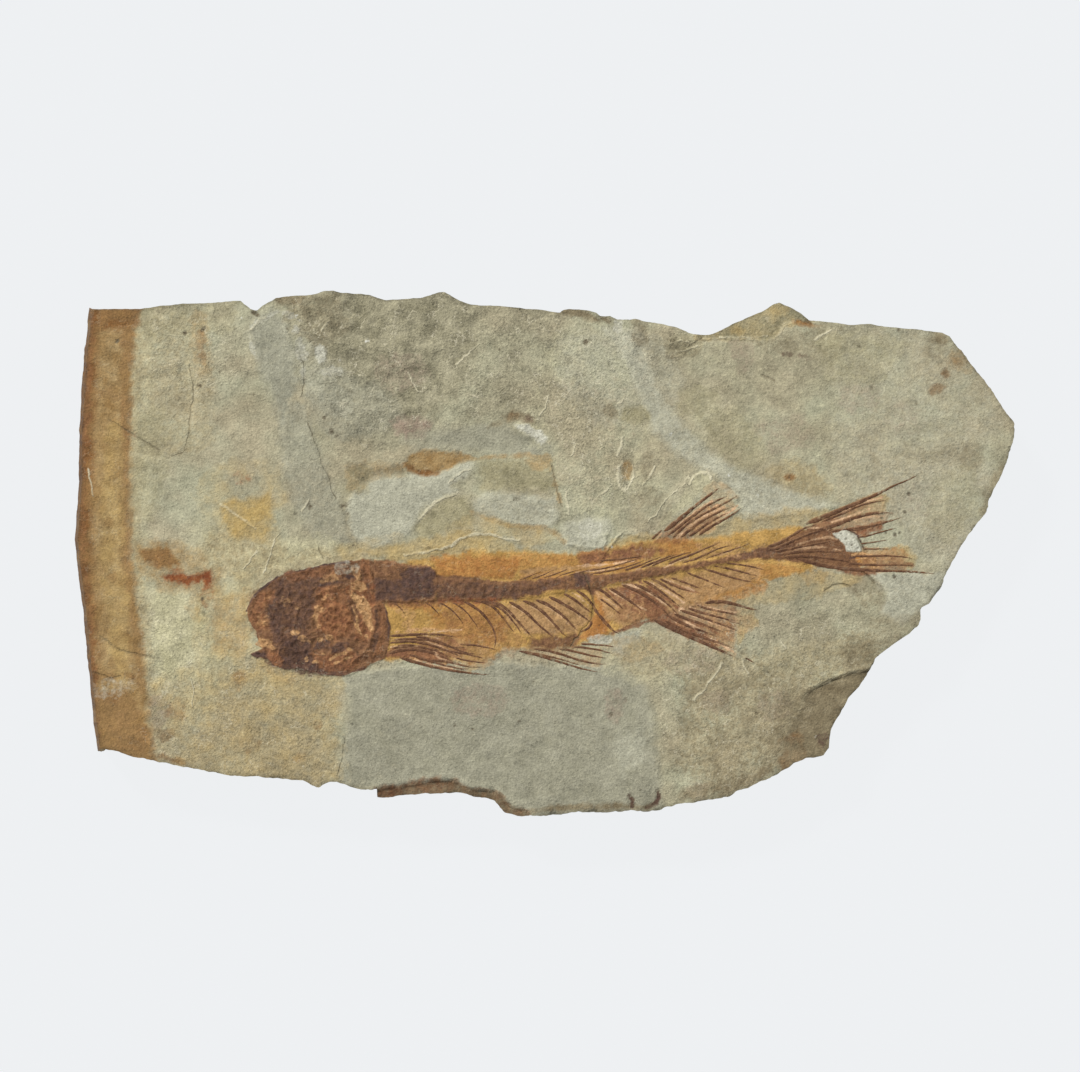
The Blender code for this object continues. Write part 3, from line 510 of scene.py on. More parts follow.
        stroke(0.12, 0.75, 2.2, (704, 526), (716, 520), (730, 513), (738, 506)),
        stroke(0.12, 0.7, 1.8, (662, 534), (656, 541)),
        stroke(0.12, 0.7, 1.6, (671, 617), (676, 624)),
        stroke(0.12, 0.8, 1.8, (675, 614), (684, 622), (696, 629), (706, 633)),
        stroke(0.12, 0.75, 1.8, (684, 613), (700, 620), (716, 625), (734, 632)),
        stroke(0.12, 0.75, 1.8, (690, 608), (706, 615), (722, 620), (738, 624)),
        stroke(0.12, 0.7, 1.8, (698, 606), (714, 610), (730, 613), (742, 614)),
        stroke(0.12, 0.75, 2.2, (704, 636), (716, 643), (728, 650), (736, 655)),
        spot(0.12, 0.8, 681, 611, 3, 2),
        stroke(0.12, 0.7, 1.8, (606, 590), (620, 597), (634, 605), (646, 611)),
        stroke(0.12, 0.7, 1.8, (622, 585), (640, 589), (655, 597), (666, 606)),
        stroke(0.12, 0.7, 1.6, (648, 582), (662, 590), (676, 598), (684, 604)),
        stroke(0.12, 0.6, 1.4, (600, 597), (610, 603), (618, 609)),
        stroke(0.12, 0.6, 1.4, (664, 580), (680, 586), (694, 592)),
        stroke(0.12, 0.6, 1.4, (664, 569), (676, 563), (688, 559)),
        stroke(0.12, 0.6, 1.4, (636, 571), (650, 566), (664, 560)),
        stroke(0.12, 0.6, 1.6, (714, 559), (728, 553), (740, 548)),
        stroke(0.12, 0.85, 2.4, (834, 518), (850, 510), (866, 503), (882, 498)),
        stroke(0.12, 0.75, 2, (832, 523), (848, 518), (864, 512), (874, 508)),
        stroke(0.12, 0.6, 1.8, (806, 529), (818, 529), (828, 531)),
        stroke(0.15, 0.5, 2, (790, 553), (806, 549), (824, 548), (840, 551)),
        stroke(0.12, 0.45, 1.4, (796, 546), (812, 541), (830, 538), (838, 541)),
        stroke(0.12, 0.6, 1.6, (846, 523), (860, 519), (874, 517), (884, 517)),
        stroke(0.12, 0.7, 2, (430, 634), (444, 632), (462, 631)),
        stroke(0.12, 0.7, 1.8, (422, 636), (432, 638), (440, 640)),
        stroke(0.12, 0.6, 1.8, (424, 641), (436, 646), (448, 651)),
        stroke(0.12, 0.75, 2.2, (410, 658), (420, 663), (434, 667), (452, 670)),
        stroke(0.12, 0.6, 2.2, (434, 652), (440, 660), (452, 664), (462, 666)),
        stroke(0.12, 0.6, 2, (390, 641), (404, 640), (416, 641)),
        stroke(0.12, 0.6, 2, (390, 648), (406, 647), (420, 647)),
        stroke(0.12, 0.5, 1.6, (497, 606), (510, 614), (520, 624)),
        stroke(0.12, 0.5, 1.6, (513, 607), (526, 614), (538, 626)),
        stroke(0.12, 0.5, 1.6, (527, 605), (542, 613), (554, 627)),
        stroke(0.12, 0.5, 1.6, (541, 603), (556, 613), (568, 625)),
        stroke(0.12, 0.5, 1.6, (556, 601), (568, 608), (580, 618)),
        stroke(0.12, 0.7, 2, (576, 567), (600, 566), (620, 564), (634, 562)),
        stroke(0.12, 0.7, 2, (576, 573), (596, 572), (612, 570), (624, 569)),
        stroke(0.12, 0.6, 1.8, (572, 594), (580, 598), (588, 606)),
    ],
    "cheek": [
        area(0.9, 0.8, (316, 608), (324, 602), (340, 600), (352, 606), (356, 622), (350, 636), (332, 638),
             (318, 630)),
        area(0.6, 0.8, (352, 580), (366, 584), (374, 606), (376, 632), (366, 644), (354, 640), (360, 616)),
        area(0.6, 0.6, (254, 604), (264, 594), (274, 594), (272, 604), (262, 610), (266, 618), (270, 630),
             (260, 630), (252, 620)),
        area(0.5, 0.6, (316, 590), (330, 588), (347, 590), (352, 600), (330, 604), (318, 604)),
        area(0.5, 0.65, (266, 650), (276, 652), (283, 660), (280, 667), (270, 661)),
        area(0.6, 0.6, (312, 655), (330, 656), (350, 654), (362, 660), (350, 672), (324, 672)),
        area(0.5, 0.6, (362, 560), (368, 562), (372, 580), (366, 584)),
        stroke(0.4, 0.5, 7, (380, 604), (383, 620), (383, 640), (378, 655)),
        area(0.5, 0.5, (284, 575), (312, 570), (345, 566), (344, 574), (310, 580), (290, 582)),
    ],
    "straw": [
        stroke(0.4, 0.5, 6, (322, 581), (330, 579), (338, 580)),
        stroke(0.3, 0.5, 7, (352, 567), (356, 573), (359, 578)),
        area(0.3, 0.6, (350, 584), (356, 582), (366, 586), (367, 591), (360, 593), (352, 590)),
        stroke(0.4, 0.85, 9, (352, 594), (360, 604), (367, 616), (371, 630)),
        stroke(0.2, 0.9, 3, (357, 600), (363, 608), (368, 618), (370, 627)),
        stroke(0.2, 0.75, 2.5, (363, 598), (368, 606), (372, 616)),
        stroke(0.2, 0.6, 2.5, (352, 606), (356, 616), (358, 626)),
        stroke(0.2, 0.65, 3, (354, 624), (359, 631), (362, 636)),
        spot(0.25, 0.65, 367, 637, 2, 2),
        stroke(0.3, 0.5, 4, (326, 610), (318, 612), (315, 620), (319, 628)),
        spot(0.25, 0.5, 318, 609, 1.6, 1.6),
        stroke(0.25, 0.45, 3, (322, 600), (328, 597), (332, 600)),
        spot(0.25, 0.62, 296, 634, 4, 2.2),
        stroke(0.3, 0.5, 4, (300, 638), (308, 641), (313, 645)),
        spot(0.25, 0.55, 320, 640, 3.5, 2.5),
        spot(0.25, 0.5, 330, 638, 3, 2),
        spot(0.2, 0.65, 350, 650, 2.4, 1.6),
        stroke(0.2, 0.55, 2.5, (330, 661), (338, 656), (346, 654)),
        stroke(0.2, 0.5, 2.5, (336, 664), (346, 660), (352, 658)),
        spot(0.2, 0.6, 316, 663, 2.6, 1.5),
        spot(0.2, 0.6, 307, 660, 1.8, 2.4),
        spot(0.2, 0.5, 324, 655, 2.4, 1.8),
        stroke(0.3, 0.6, 8, (258, 645), (268, 644), (273, 649)),
        spot(0.4, 0.34, 268, 598, 3, 2),
        spot(0.5, 0.36, 264, 622, 6, 6),
        spot(0.4, 0.34, 286, 602, 5, 3),
        spot(0.3, 0.4, 297, 609, 2, 2),
        stroke(0.3, 0.7, 2.2, (396, 633), (420, 631), (440, 631), (456, 633)),
        spot(0.3, 0.7, 414, 659, 5, 1.8),
        spot(0.3, 0.6, 443, 664, 3, 1.8),
        stroke(0.3, 0.5, 2, (520, 578), (550, 575), (575, 571)),
        stroke(0.3, 0.6, 4, (596, 594), (603, 604), (606, 614)),
        stroke(0.15, 0.8, 2.2, (852, 556), (862, 554), (872, 556), (876, 561)),
        stroke(0.15, 0.8, 2.2, (856, 561), (866, 559), (874, 563), (868, 566), (858, 565)),
        stroke(0.15, 0.7, 2.2, (862, 569), (872, 570), (878, 567)),
        stroke(0.3, 0.45, 10, (398, 612), (412, 618), (405, 628)),
        area(0.8, 0.42, (698, 545), (737, 543), (738, 556), (700, 557)),
        area(0.8, 0.36, (618, 599), (642, 599), (642, 613), (618, 613)),
        area(0.8, 0.4, (698, 612), (724, 614), (732, 640), (712, 642)),
        area(0.8, 0.4, (678, 532), (704, 508), (724, 508), (712, 532)),
    ],
    "red": [
        area(0.9, 0.84, (164, 577), (175, 572), (190, 574), (200, 575), (205, 570), (210, 571), (213, 580),
             (210, 590), (204, 589), (203, 583), (190, 585), (176, 585), (166, 582)),
        stroke(0.4, 0.8, 5, (168, 579), (180, 578), (192, 579)),
        stroke(0.4, 0.7, 4, (203, 577), (207, 582), (207, 590)),
        stroke(0.8, 0.36, 6, (208, 588), (209, 597), (206, 606)),
        spot(0.9, 0.3, 242, 479, 6, 4),
        spot(0.5, 0.42, 351, 590, 4, 4),
        spot(0.5, 0.38, 372, 596, 2, 9),
        stroke(0.5, 0.3, 4, (120, 428), (135, 436)),
        stroke(0.4, 0.5, 4, (440, 601), (480, 602), (500, 602)),
    ],
    "white": [
        area(0.2, 0.85, (832, 534), (838, 533), (846, 530), (851, 533), (857, 539), (861, 547), (861, 552),
             (853, 553), (846, 552), (843, 545), (838, 540)),
        area(0.25, 0.9, (313, 347), (320, 344), (325, 350), (325, 360), (319, 364), (314, 358)),
        area(0.3, 0.8, (512, 424), (526, 425), (540, 430), (548, 438), (541, 447), (535, 439), (522, 433)),
        area(0.4, 0.36, (336, 566), (347, 563), (356, 565), (358, 572), (347, 574), (338, 574)),
        # These three strokes are a painted highlight on the upper-left rim of the filler-like band.
        stroke(0.3, 0.5, 4, (268, 316), (280, 311), (294, 318), (300, 322)),
        stroke(0.3, 0.6, 3, (249, 336), (252, 352), (258, 362)),
        stroke(0.3, 0.7, 3, (250, 328), (257, 321), (266, 318)),
        spot(0.4, 0.55, 301, 352, 6, 8),
        spot(0.4, 0.5, 330, 372, 12, 5),
        spot(0.3, 0.55, 618, 326, 5, 8),
        spot(0.3, 0.6, 600, 641, 12, 5),
        stroke(1.0, 0.32, 12, (98, 692), (112, 688), (130, 688)),
        spot(0.3, 0.5, 290, 316, 5, 3),
        spot(0.3, 0.56, 295, 329, 4, 5),
        spot(0.3, 0.56, 299, 341, 4, 4),
        spot(0.3, 0.5, 302, 372, 3, 6),
        spot(0.4, 0.5, 590, 530, 12, 10),
    ],
}

# Small round marks: dark pits, sunk a little and painted dark as shade in them, and bright grains, each with its
# middle and radius, in units of the drawing, and its strength.
DOTS = {
    "pit_shade": [
        (253, 313, 3.2, 0.9), (257, 315, 2.4, 0.9), (341, 507, 2.6, 0.9), (346, 506, 2.2, 0.9),
        (350, 503, 1.6, 0.8), (347, 515, 2.0, 0.8), (308, 503, 2.6, 0.6), (310, 508, 3.0, 0.6),
        (352, 532, 1.8, 0.9), (354, 547, 2.0, 1.0), (184, 333, 2.6, 0.8), (203, 329, 2.6, 0.7),
        (200, 331, 1.6, 0.6), (199, 386, 2.6, 0.7), (219, 372, 1.8, 0.6), (253, 395, 1.6, 0.6),
        (203, 600, 2.4, 0.8), (586, 342, 3.4, 0.9), (591, 340, 1.6, 0.8), (458, 452, 1.6, 0.9),
        (518, 500, 2.2, 0.6), (514, 500, 1.8, 0.6), (525, 503, 1.6, 0.5), (533, 683, 1.8, 0.8),
        (519, 723, 1.8, 0.8), (455, 726, 1.8, 0.7), (473, 730, 1.8, 0.7), (611, 715, 2.2, 0.8),
        (616, 702, 1.6, 0.7), (604, 722, 1.4, 0.7), (560, 760, 1.6, 0.6), (626, 700, 1.6, 0.7),
        (790, 478, 2.0, 0.7), (847, 476, 2.2, 0.6), (917, 404, 2.0, 0.8), (909, 495, 2.2, 0.6),
        (905, 513, 2.0, 0.6), (895, 536, 2.2, 0.6), (900, 534, 1.4, 0.6), (764, 686, 1.8, 0.7),
        (894, 578, 2.2, 0.5), (311, 436, 2.0, 0.5), (324, 418, 2.8, 0.5), (331, 432, 3.4, 0.5),
        (337, 436, 2.6, 0.5), (116, 341, 2.8, 0.6), (946, 373, 2.0, 0.7), (872, 388, 2.6, 0.4),
        (863, 391, 1.8, 0.4), (393, 366, 1.8, 0.8), (347, 425, 2.0, 0.5), (500, 350, 1.6, 0.5),
        (860, 347, 2.2, 0.5), (900, 330, 2.0, 0.5), (886, 534, 1.6, 0.5), (165, 500, 1.8, 0.5),
        (130, 500, 1.6, 0.5), (820, 478, 1.4, 0.5), (882, 519, 1.6, 0.6), (640, 790, 1.6, 0.7),
        (190, 300, 1.2, 0.5), (287, 329, 2.0, 0.4),
        (846, 540, 1.4, 0.5), (852, 546, 1.4, 0.5), (858, 549, 1.2, 0.5), (841, 535, 1.2, 0.5), (463, 478, 2.0, 0.5), (454, 482, 2.2, 0.5),
    ],
    "sparkle": [
        (729, 476, 1.9, 1.0), (758, 497, 1.7, 1.0), (671, 435, 1.6, 0.9), (296, 316, 2.0, 0.6),
        (367, 341, 2.2, 0.6), (513, 539, 1.8, 0.6), (240, 318, 1.2, 0.5),
        (340, 361, 1.6, 0.6), (815, 737, 1.6, 0.8),
        (690, 353, 1.2, 0.5), (676, 440, 1.4, 0.7), (612, 548, 1.4, 0.7),
    ],
}

# Fine cracks, each with its width, in units of the drawing. Each groove is sunk a little and painted darker as painted
# shade.
CRACKS = [
    (6.0, [(628, 796), (632, 801), (632, 807)]),
    (5.0, [(656, 790), (659, 797)]),
    (6.0, [(658, 797), (655, 803), (646, 808)]),
    (0.9, [(189, 365), (193, 395), (190, 410), (189, 430), (184, 452), (172, 458)]),
    (1.0, [(95, 674), (104, 676), (112, 679), (121, 677)]),
    (1.8, [(101, 637), (120, 651), (136, 655), (161, 660)]),
    (1.4, [(108, 420), (131, 434), (145, 443), (159, 451)]),
    (0.9, [(303, 362), (304, 385), (301, 396)]),
    (1.1, [(307, 422), (313, 438), (319, 452), (322, 466), (329, 478), (331, 490), (336, 499)]),
    (1.4, [(346, 740), (343, 760), (338, 776)]),
    (1.8, [(825, 592), (835, 586), (843, 585), (850, 588)]),
    (1.6, [(862, 573), (868, 577), (874, 583)]),
    (1.8, [(762, 375), (775, 381)]),
    (1.8, [(704, 341), (720, 340), (738, 341), (758, 341)]),
    (2.6, [(846, 531), (853, 535), (859, 542), (863, 549), (866, 553)]),
    (1.8, [(870, 671), (850, 674), (830, 681), (814, 689)]),
    (2.0, [(584, 574), (589, 586), (593, 599), (593, 612), (591, 624)]),
    (1.8, [(591, 622), (586, 629), (580, 635), (571, 647)]),
    (1.6, [(552, 466), (556, 485), (562, 508)]),
    (1.6, [(690, 347), (703, 338)]),
    (1.4, [(318, 548), (323, 559)]),
]

# Edges of flakes that catch the light, each with its width: a painted highlight, and a slightly raised line in the
# height.
BRIGHT_EDGES = [
    (2.4, [(419, 521), (426, 512), (436, 503), (449, 497), (459, 493)]),
    (2.0, [(448, 484), (460, 474), (470, 470)]),
    (2.4, [(404, 556), (425, 553), (447, 549), (460, 541), (475, 535), (490, 535), (505, 540), (519, 541)]),
    (2.6, [(607, 551), (614, 543), (621, 535)]),
    (1.4, [(648, 523), (656, 515), (668, 498), (680, 488)]),
    (3.2, [(682, 488), (686, 480), (690, 478)]),
    (2.6, [(690, 486), (694, 478), (700, 474), (708, 473), (711, 480)]),
    (2.6, [(623, 437), (621, 447), (617, 457)]),
    (3.0, [(624, 462), (619, 468), (618, 478), (620, 488), (626, 492)]),
    (1.6, [(633, 466), (634, 478), (629, 489)]),
    (1.8, [(655, 465), (650, 478), (642, 486)]),
    (1.8, [(575, 447), (571, 458)]),
    (1.8, [(548, 398), (545, 410), (540, 416)]),
    (1.8, [(598, 498), (606, 492), (612, 486)]),
    (2.0, [(618, 405), (624, 400), (632, 402)]),
    (1.2, [(193, 708), (194, 694), (192, 680)]),
    (1.8, [(780, 642), (786, 650)]),
    (1.6, [(468, 394), (478, 398)]),
    (1.6, [(408, 372), (412, 382), (418, 392)]),
    (2.0, [(455, 365), (470, 352), (478, 345)]),
    (2.6, [(221, 505), (238, 517), (255, 529)]),
    (1.8, [(280, 534), (273, 546), (269, 560), (264, 574)]),
    (1.4, [(258, 552), (251, 561), (243, 570)]),
    (1.6, [(88, 470), (93, 497)]),
    (2.2, [(722, 664), (706, 688), (692, 701)]),
    (2.0, [(742, 660), (744, 668), (748, 674)]),
    (3.0, [(775, 337), (780, 333), (783, 328), (787, 323), (796, 321)]),
    (2.2, [(720, 337), (745, 337), (768, 336)]),
    (2.6, [(250, 330), (258, 321), (266, 317)]),
    (2.0, [(320, 331), (329, 321)]),
    (2.6, [(566, 490), (569, 516)]),
    (2.2, [(815, 340), (832, 330)]),
    (2.2, [(708, 470), (711, 478)]),
    (2.0, [(302, 513), (308, 500)]),
    (1.8, [(560, 664), (566, 668)]),
    (2.0, [(670, 344), (680, 341), (690, 342)]),
    (1.8, [(676, 352), (688, 350), (698, 346)]),
]

# Where the stone is crusty.
CRUSTY = [
    area(3.0, 1.0, (270, 285), (430, 280), (556, 305), (640, 318), (660, 360), (620, 420), (640, 500),
         (560, 520), (560, 450), (500, 420), (400, 440), (345, 450), (320, 410), (295, 350)),
    area(3.0, 0.75, (140, 600), (240, 640), (330, 680), (335, 790), (150, 770)),
    area(3.0, 0.8, (650, 660), (720, 620), (860, 600), (890, 640), (800, 700), (740, 800), (660, 800)),
    area(2.0, 0.75, (150, 310), (230, 310), (250, 370), (200, 400), (150, 380)),
    area(1.0, 0.9, (660, 325), (705, 333), (700, 355), (670, 355)),
    area(1.0, 0.5, *TONGUE),
]

# Thin flakes that stand above the face, or below it where the height is negative: height and rim, in mm.
FLAKES = [
    (0.10, 0.35, STAINS["filler"][0][3]),
    (0.08, 0.35, STAINS["filler"][1][3]),
    (0.14, 0.30, STAINS["chalk"][1][3]),
    (0.10, 0.35, STAINS["chalk"][2][3]),
    (0.10, 0.60, STAINS["chalk"][3][3]),
    (0.10, 0.40, STAINS["chalk"][4][3]),
    (0.16, 0.35, STAINS["chalk"][5][3]),
    (0.10, 0.60, STAINS["grey"][0][3]),
    (-0.14, 0.40, LENS),
    (0.16, 0.45, ((416, 532), (424, 512), (445, 498), (463, 491), (470, 500), (472, 512), (485, 516),
                  (500, 524), (520, 541), (490, 534), (470, 534), (447, 549), (425, 550))),
    (-0.08, 0.30, ((628, 438), (635, 444), (632, 470), (628, 492), (620, 491), (623, 465))),
    (0.10, 0.35, ((653, 537), (668, 500), (690, 478), (701, 471), (715, 475), (734, 493), (742, 508),
                  (712, 535))),
    (-0.12, 0.35, ((609, 551), (622, 535), (640, 537), (655, 540), (640, 560), (600, 565))),
    (0.14, 0.25, STAINS["white"][1][3]),
    (0.14, 0.25, STAINS["white"][2][3]),
    (0.12, 0.25, STAINS["white"][0][3]),
    (-0.12, 0.5, ((185, 360), (190, 420), (170, 458), (140, 455), (136, 380))),
    (-0.16, 0.4, ((270, 290), (300, 285), (308, 304), (290, 309), (277, 308))),
    (-0.10, 0.5, ((668, 325), (705, 333), (700, 352), (685, 356), (670, 345))),
]

# Lower terraces where beds have broken away: depth and rim, in millimetres, how much wider the rim grows down
# the drawing, and how far it wanders.
TERRACES = [
    (0.6, 0.3, 0.0, 0.1, SHELF),
    (0.5, 0.2, 0.0, 0.02, TONGUE),
    (0.38, 0.2, 2.4, 0.06, SPALL),
]
RIM_WIDENS = (684, 712)  # between these heights of the drawing

# The fish's middle line, from behind the head to the tail, with half its backbone's width, in drawing units.
BACKBONE = [(430, 590, 12), (480, 591, 11), (530, 590, 9.5), (575, 583, 8.5), (600, 582, 7), (630, 577, 5.5),
            (661, 572, 5), (696, 566, 4.5), (732, 559, 5), (770, 552, 8), (800, 548, 12)]
SHOULDER = STAINS["bone"][0][3]
HEAD = STAINS["bone"][3][3]
FILM = STAINS["film"][0][3]

# The finely modelled parts of the face: the left and right end, the lower and the upper line, the number of
# columns and rows.
PATCHES = {
    "trunk": (374, 652, [(374, 684), (430, 683), (505, 682), (560, 682), (600, 680), (652, 664)],
              [(374, 552), (430, 545), (470, 538), (560, 538), (600, 535), (652, 526)], 345, 168),
    "tail": (640, 944, [(640, 666), (700, 670), (745, 674), (768, 662), (795, 622), (835, 602), (915, 590), (944, 562)],
             [(640, 530), (660, 505), (683, 478), (700, 465), (718, 466), (745, 494), (765, 508), (790, 512),
              (820, 506), (850, 492), (880, 480), (905, 468), (944, 462)], 372, 206),
    "head": (240, 398, [(240, 668), (252, 670), (275, 678), (300, 683), (350, 687), (380, 680), (398, 668)],
             [(240, 604), (248, 588), (262, 574), (290, 562), (320, 557), (360, 551), (398, 556)], 300, 236),
}

# The fine bones: width at the root, in drawing units, and the points of its path.
FINE_BONES = {
    "ribs": [
        (2.7, [(464, 603), (476, 609), (486, 619), (493, 630), (496, 640), (494, 649)]),
        (1.5, [(440, 604), (450, 610), (458, 618), (464, 627)]),
        (1.5, [(453, 604), (464, 611), (472, 620), (478, 630)]),
        (1.4, [(392, 604), (400, 609), (405, 616)]),
        (1.4, [(426, 604), (434, 610), (440, 617)]),
        (2.8, [(474, 602), (491, 607), (503, 618), (509, 628), (514, 633)]),
        (2.4, [(484, 602), (498, 608), (510, 619), (518, 629), (522, 636)]),
        (2.9, [(493, 603), (506, 610), (518, 622), (526, 632), (533, 638)]),
        (3.0, [(509, 603), (521, 610), (533, 620), (543, 630), (553, 638)]),
        (3.2, [(523, 602), (534, 607), (548, 617), (558, 630), (568, 638)]),
        (3.2, [(536, 601), (549, 607), (561, 615), (569, 623), (578, 632)]),
        (3.2, [(549, 598), (563, 605), (574, 612), (584, 618), (590, 623)]),
        (3.0, [(591, 622), (589, 628), (585, 631), (579, 633)]),
        (2.6, [(564, 595), (576, 602), (586, 610), (593, 615)]),
        (2.8, [(576, 592), (584, 597), (591, 603), (598, 617), (609, 627), (619, 635)]),
    ],
    "spines_above": [
        (2.2, [(625, 571), (640, 566), (652, 561), (662, 558)]),
        (2.2, [(640, 569), (655, 563), (668, 558), (678, 555)]),
        (2.0, [(652, 567), (668, 560), (680, 556), (692, 553)]),
        (2.3, [(668, 565), (690, 556), (705, 550), (720, 543)]),
        (2.3, [(682, 564), (700, 558), (715, 551), (730, 547)]),
        (1.6, [(706, 560), (722, 554), (738, 549), (750, 544)]),
        (2.0, [(590, 576), (608, 572), (626, 568), (644, 561)]),
        (1.8, [(586, 572), (605, 569), (625, 564), (640, 559)]),
        (1.6, [(600, 562), (620, 560), (642, 557)]),
        (1.3, [(520, 581), (530, 577), (541, 572)]),
        (1.3, [(532, 580), (543, 576), (554, 571)]),
        (1.3, [(544, 579), (556, 575), (568, 570)]),
        (1.3, [(556, 579), (568, 574), (582, 570)]),
        (1.4, [(568, 577), (582, 573), (597, 569)]),
    ],
    "spines_below": [
        (2.9, [(599, 590), (611, 599), (623, 610)]),
        (2.9, [(609, 589), (622, 597), (641, 611)]),
        (1.9, [(600, 600), (610, 607), (620, 615)]),
        (1.9, [(594, 611), (604, 621), (615, 633)]),
        (3.1, [(622, 586), (640, 594), (655, 604), (668, 616)]),
        (2.9, [(634, 585), (652, 594), (666, 604), (677, 615)]),
        (2.5, [(643, 582), (657, 590), (670, 600), (680, 608)]),
        (2.5, [(651, 580), (663, 586), (674, 593), (686, 601)]),
        (2.2, [(660, 580), (674, 587), (690, 592)]),
        (2.2, [(671, 579), (686, 584), (703, 591)]),
        (2.0, [(687, 574), (700, 579), (712, 584), (725, 589)]),
        (2.2, [(704, 570), (720, 575), (737, 580), (752, 583)]),
        (2.2, [(714, 567), (730, 570), (745, 574), (757, 577)]),
        (2.0, [(726, 564), (740, 566), (752, 568), (765, 571)]),
    ],
    "dorsal_fin_rays": [
        (2.4, [(652, 540), (657, 535), (662, 531)]),
        (4.1, [(664, 532), (680, 520), (690, 511), (700, 503), (710, 496), (719, 489)]),
        (3.0, [(668, 536), (685, 524), (692, 517), (700, 510), (708, 507), (716, 503), (727, 497)]),
        (2.9, [(673, 538), (684, 529), (693, 521), (701, 515), (712, 511), (722, 506), (730, 501), (737, 496)]),
        (3.1, [(681, 538), (690, 531), (700, 523), (710, 517), (722, 512), (734, 507)]),
        (3.1, [(689, 537), (700, 530), (708, 524), (717, 519), (728, 514)]),
        (3.1, [(699, 536), (709, 529), (717, 524), (725, 520), (733, 515), (741, 509)]),
    ],
    "anal_fin_rays": [
        (4.1, [(654, 621), (668, 628), (681, 634), (700, 643), (717, 650), (735, 658)]),
        (3.0, [(665, 622), (690, 634), (710, 641), (722, 645), (735, 650)]),
        (3.0, [(668, 617), (688, 627), (704, 633), (717, 638)]),
        (2.9, [(674, 615), (695, 623), (712, 629), (723, 633)]),
        (2.7, [(680, 611), (700, 618), (720, 625), (738, 632)]),
        (2.6, [(688, 609), (710, 616), (728, 621), (742, 626)]),
        (2.3, [(697, 606), (718, 612), (732, 615), (743, 618)]),
        (3.7, [(705, 604), (718, 603), (732, 604), (745, 609), (757, 611)]),
        (1.5, [(745, 659), (754, 664)]),
    ],
    "pelvic_fin_rays": [
        (2.7, [(519, 652), (536, 656), (556, 662), (573, 667), (586, 671), (598, 673)]),
        (2.7, [(534, 650), (553, 653), (569, 658), (586, 663), (607, 665)]),
        (2.4, [(559, 650), (576, 653), (593, 657), (607, 659)]),
        (2.2, [(574, 648), (593, 650), (613, 655)]),
        (2.0, [(581, 645), (598, 646), (614, 648)]),
        (1.9, [(528, 654), (548, 657), (566, 662), (580, 666)]),
    ],
    "pectoral_fin_rays": [
        (2.9, [(390, 637), (409, 636), (431, 635), (449, 637), (457, 638)]),
        (2.7, [(390, 644), (409, 643), (423, 644), (439, 648), (453, 655), (463, 658)]),
        (2.5, [(416, 638), (423, 638), (436, 643), (449, 647), (466, 648)]),
        (3.8, [(390, 655), (404, 650), (426, 653), (443, 657), (456, 663)]),
        (3.1, [(400, 659), (416, 663), (431, 667), (449, 672), (469, 673), (489, 676)]),
        (2.5, [(410, 656), (433, 663), (451, 668), (469, 670)]),
        (2.4, [(431, 661), (448, 663), (466, 667), (483, 668)]),
        (2.1, [(460, 645), (479, 647), (497, 651)]),
        (2.1, [(448, 652), (465, 655), (484, 659)]),
        (2.1, [(392, 649), (410, 648), (430, 650), (446, 652)]),
        (1.8, [(456, 659), (470, 662), (486, 664)]),
        (2.4, [(394, 641), (412, 640), (432, 642), (450, 648)]),
        (2.4, [(398, 647), (416, 647), (436, 652), (452, 659)]),
        (2.2, [(426, 640), (442, 644), (458, 651), (476, 655)]),
    ],
    "tail_fin_rays": [
        (4.8, [(806, 525), (830, 515), (850, 507), (868, 499), (884, 492), (896, 486)]),
        (1.8, [(882, 493), (893, 487), (905, 482), (918, 476)]),
        (2.6, [(822, 522), (845, 513), (865, 505), (886, 502)]),
        (4.4, [(818, 531), (840, 524), (860, 517), (876, 514), (890, 514)]),
        (3.2, [(828, 534), (850, 530), (868, 527), (884, 524), (892, 520)]),
        (1.5, [(850, 532), (870, 528), (888, 523), (902, 518)]),
        (1.8, [(858, 538), (870, 536), (885, 532), (897, 529)]),
        (1.6, [(861, 545), (875, 543), (887, 541)]),
        (1.6, [(863, 550), (876, 550), (889, 550)]),
        (2.2, [(852, 557), (870, 557), (890, 557), (914, 560)]),
        (2.3, [(850, 564), (880, 566), (900, 566), (915, 566)]),
        (4.3, [(796, 559), (815, 564), (838, 569), (863, 571), (890, 572), (915, 573), (934, 575)]),
        (3.3, [(768, 547), (790, 538), (803, 530), (815, 526)]),
        (2.9, [(768, 551), (795, 541), (815, 533), (834, 531)]),
        (2.6, [(775, 553), (805, 547), (832, 542)]),
        (2.9, [(780, 556), (812, 552), (843, 554)]),
        (2.9, [(784, 558), (818, 558), (850, 563)]),
    ],
}

# ---------------------------------------------------------------------------------------------------------
# Numbers on a plane. Everything here takes and returns whole arrays, in millimetres.


def placed(points):
    """Points of the drawing as x and y from the middle of the slab, in millimetres."""
    uv = np.array(points, float)
    x = (uv[:, 0] - (DRAWING_LEFT + DRAWING_RIGHT) / 2) * UNIT
    y = ((DRAWING_TOP + DRAWING_BOTTOM) / 2 - uv[:, 1]) * UNIT
    return np.stack([x, y], 1)


def smooth(value):
    """0 below 0, 1 above 1, and 3t^2 - 2t^3 between."""
    t = np.clip(value, 0, 1)
    return t * t * (3 - 2 * t)


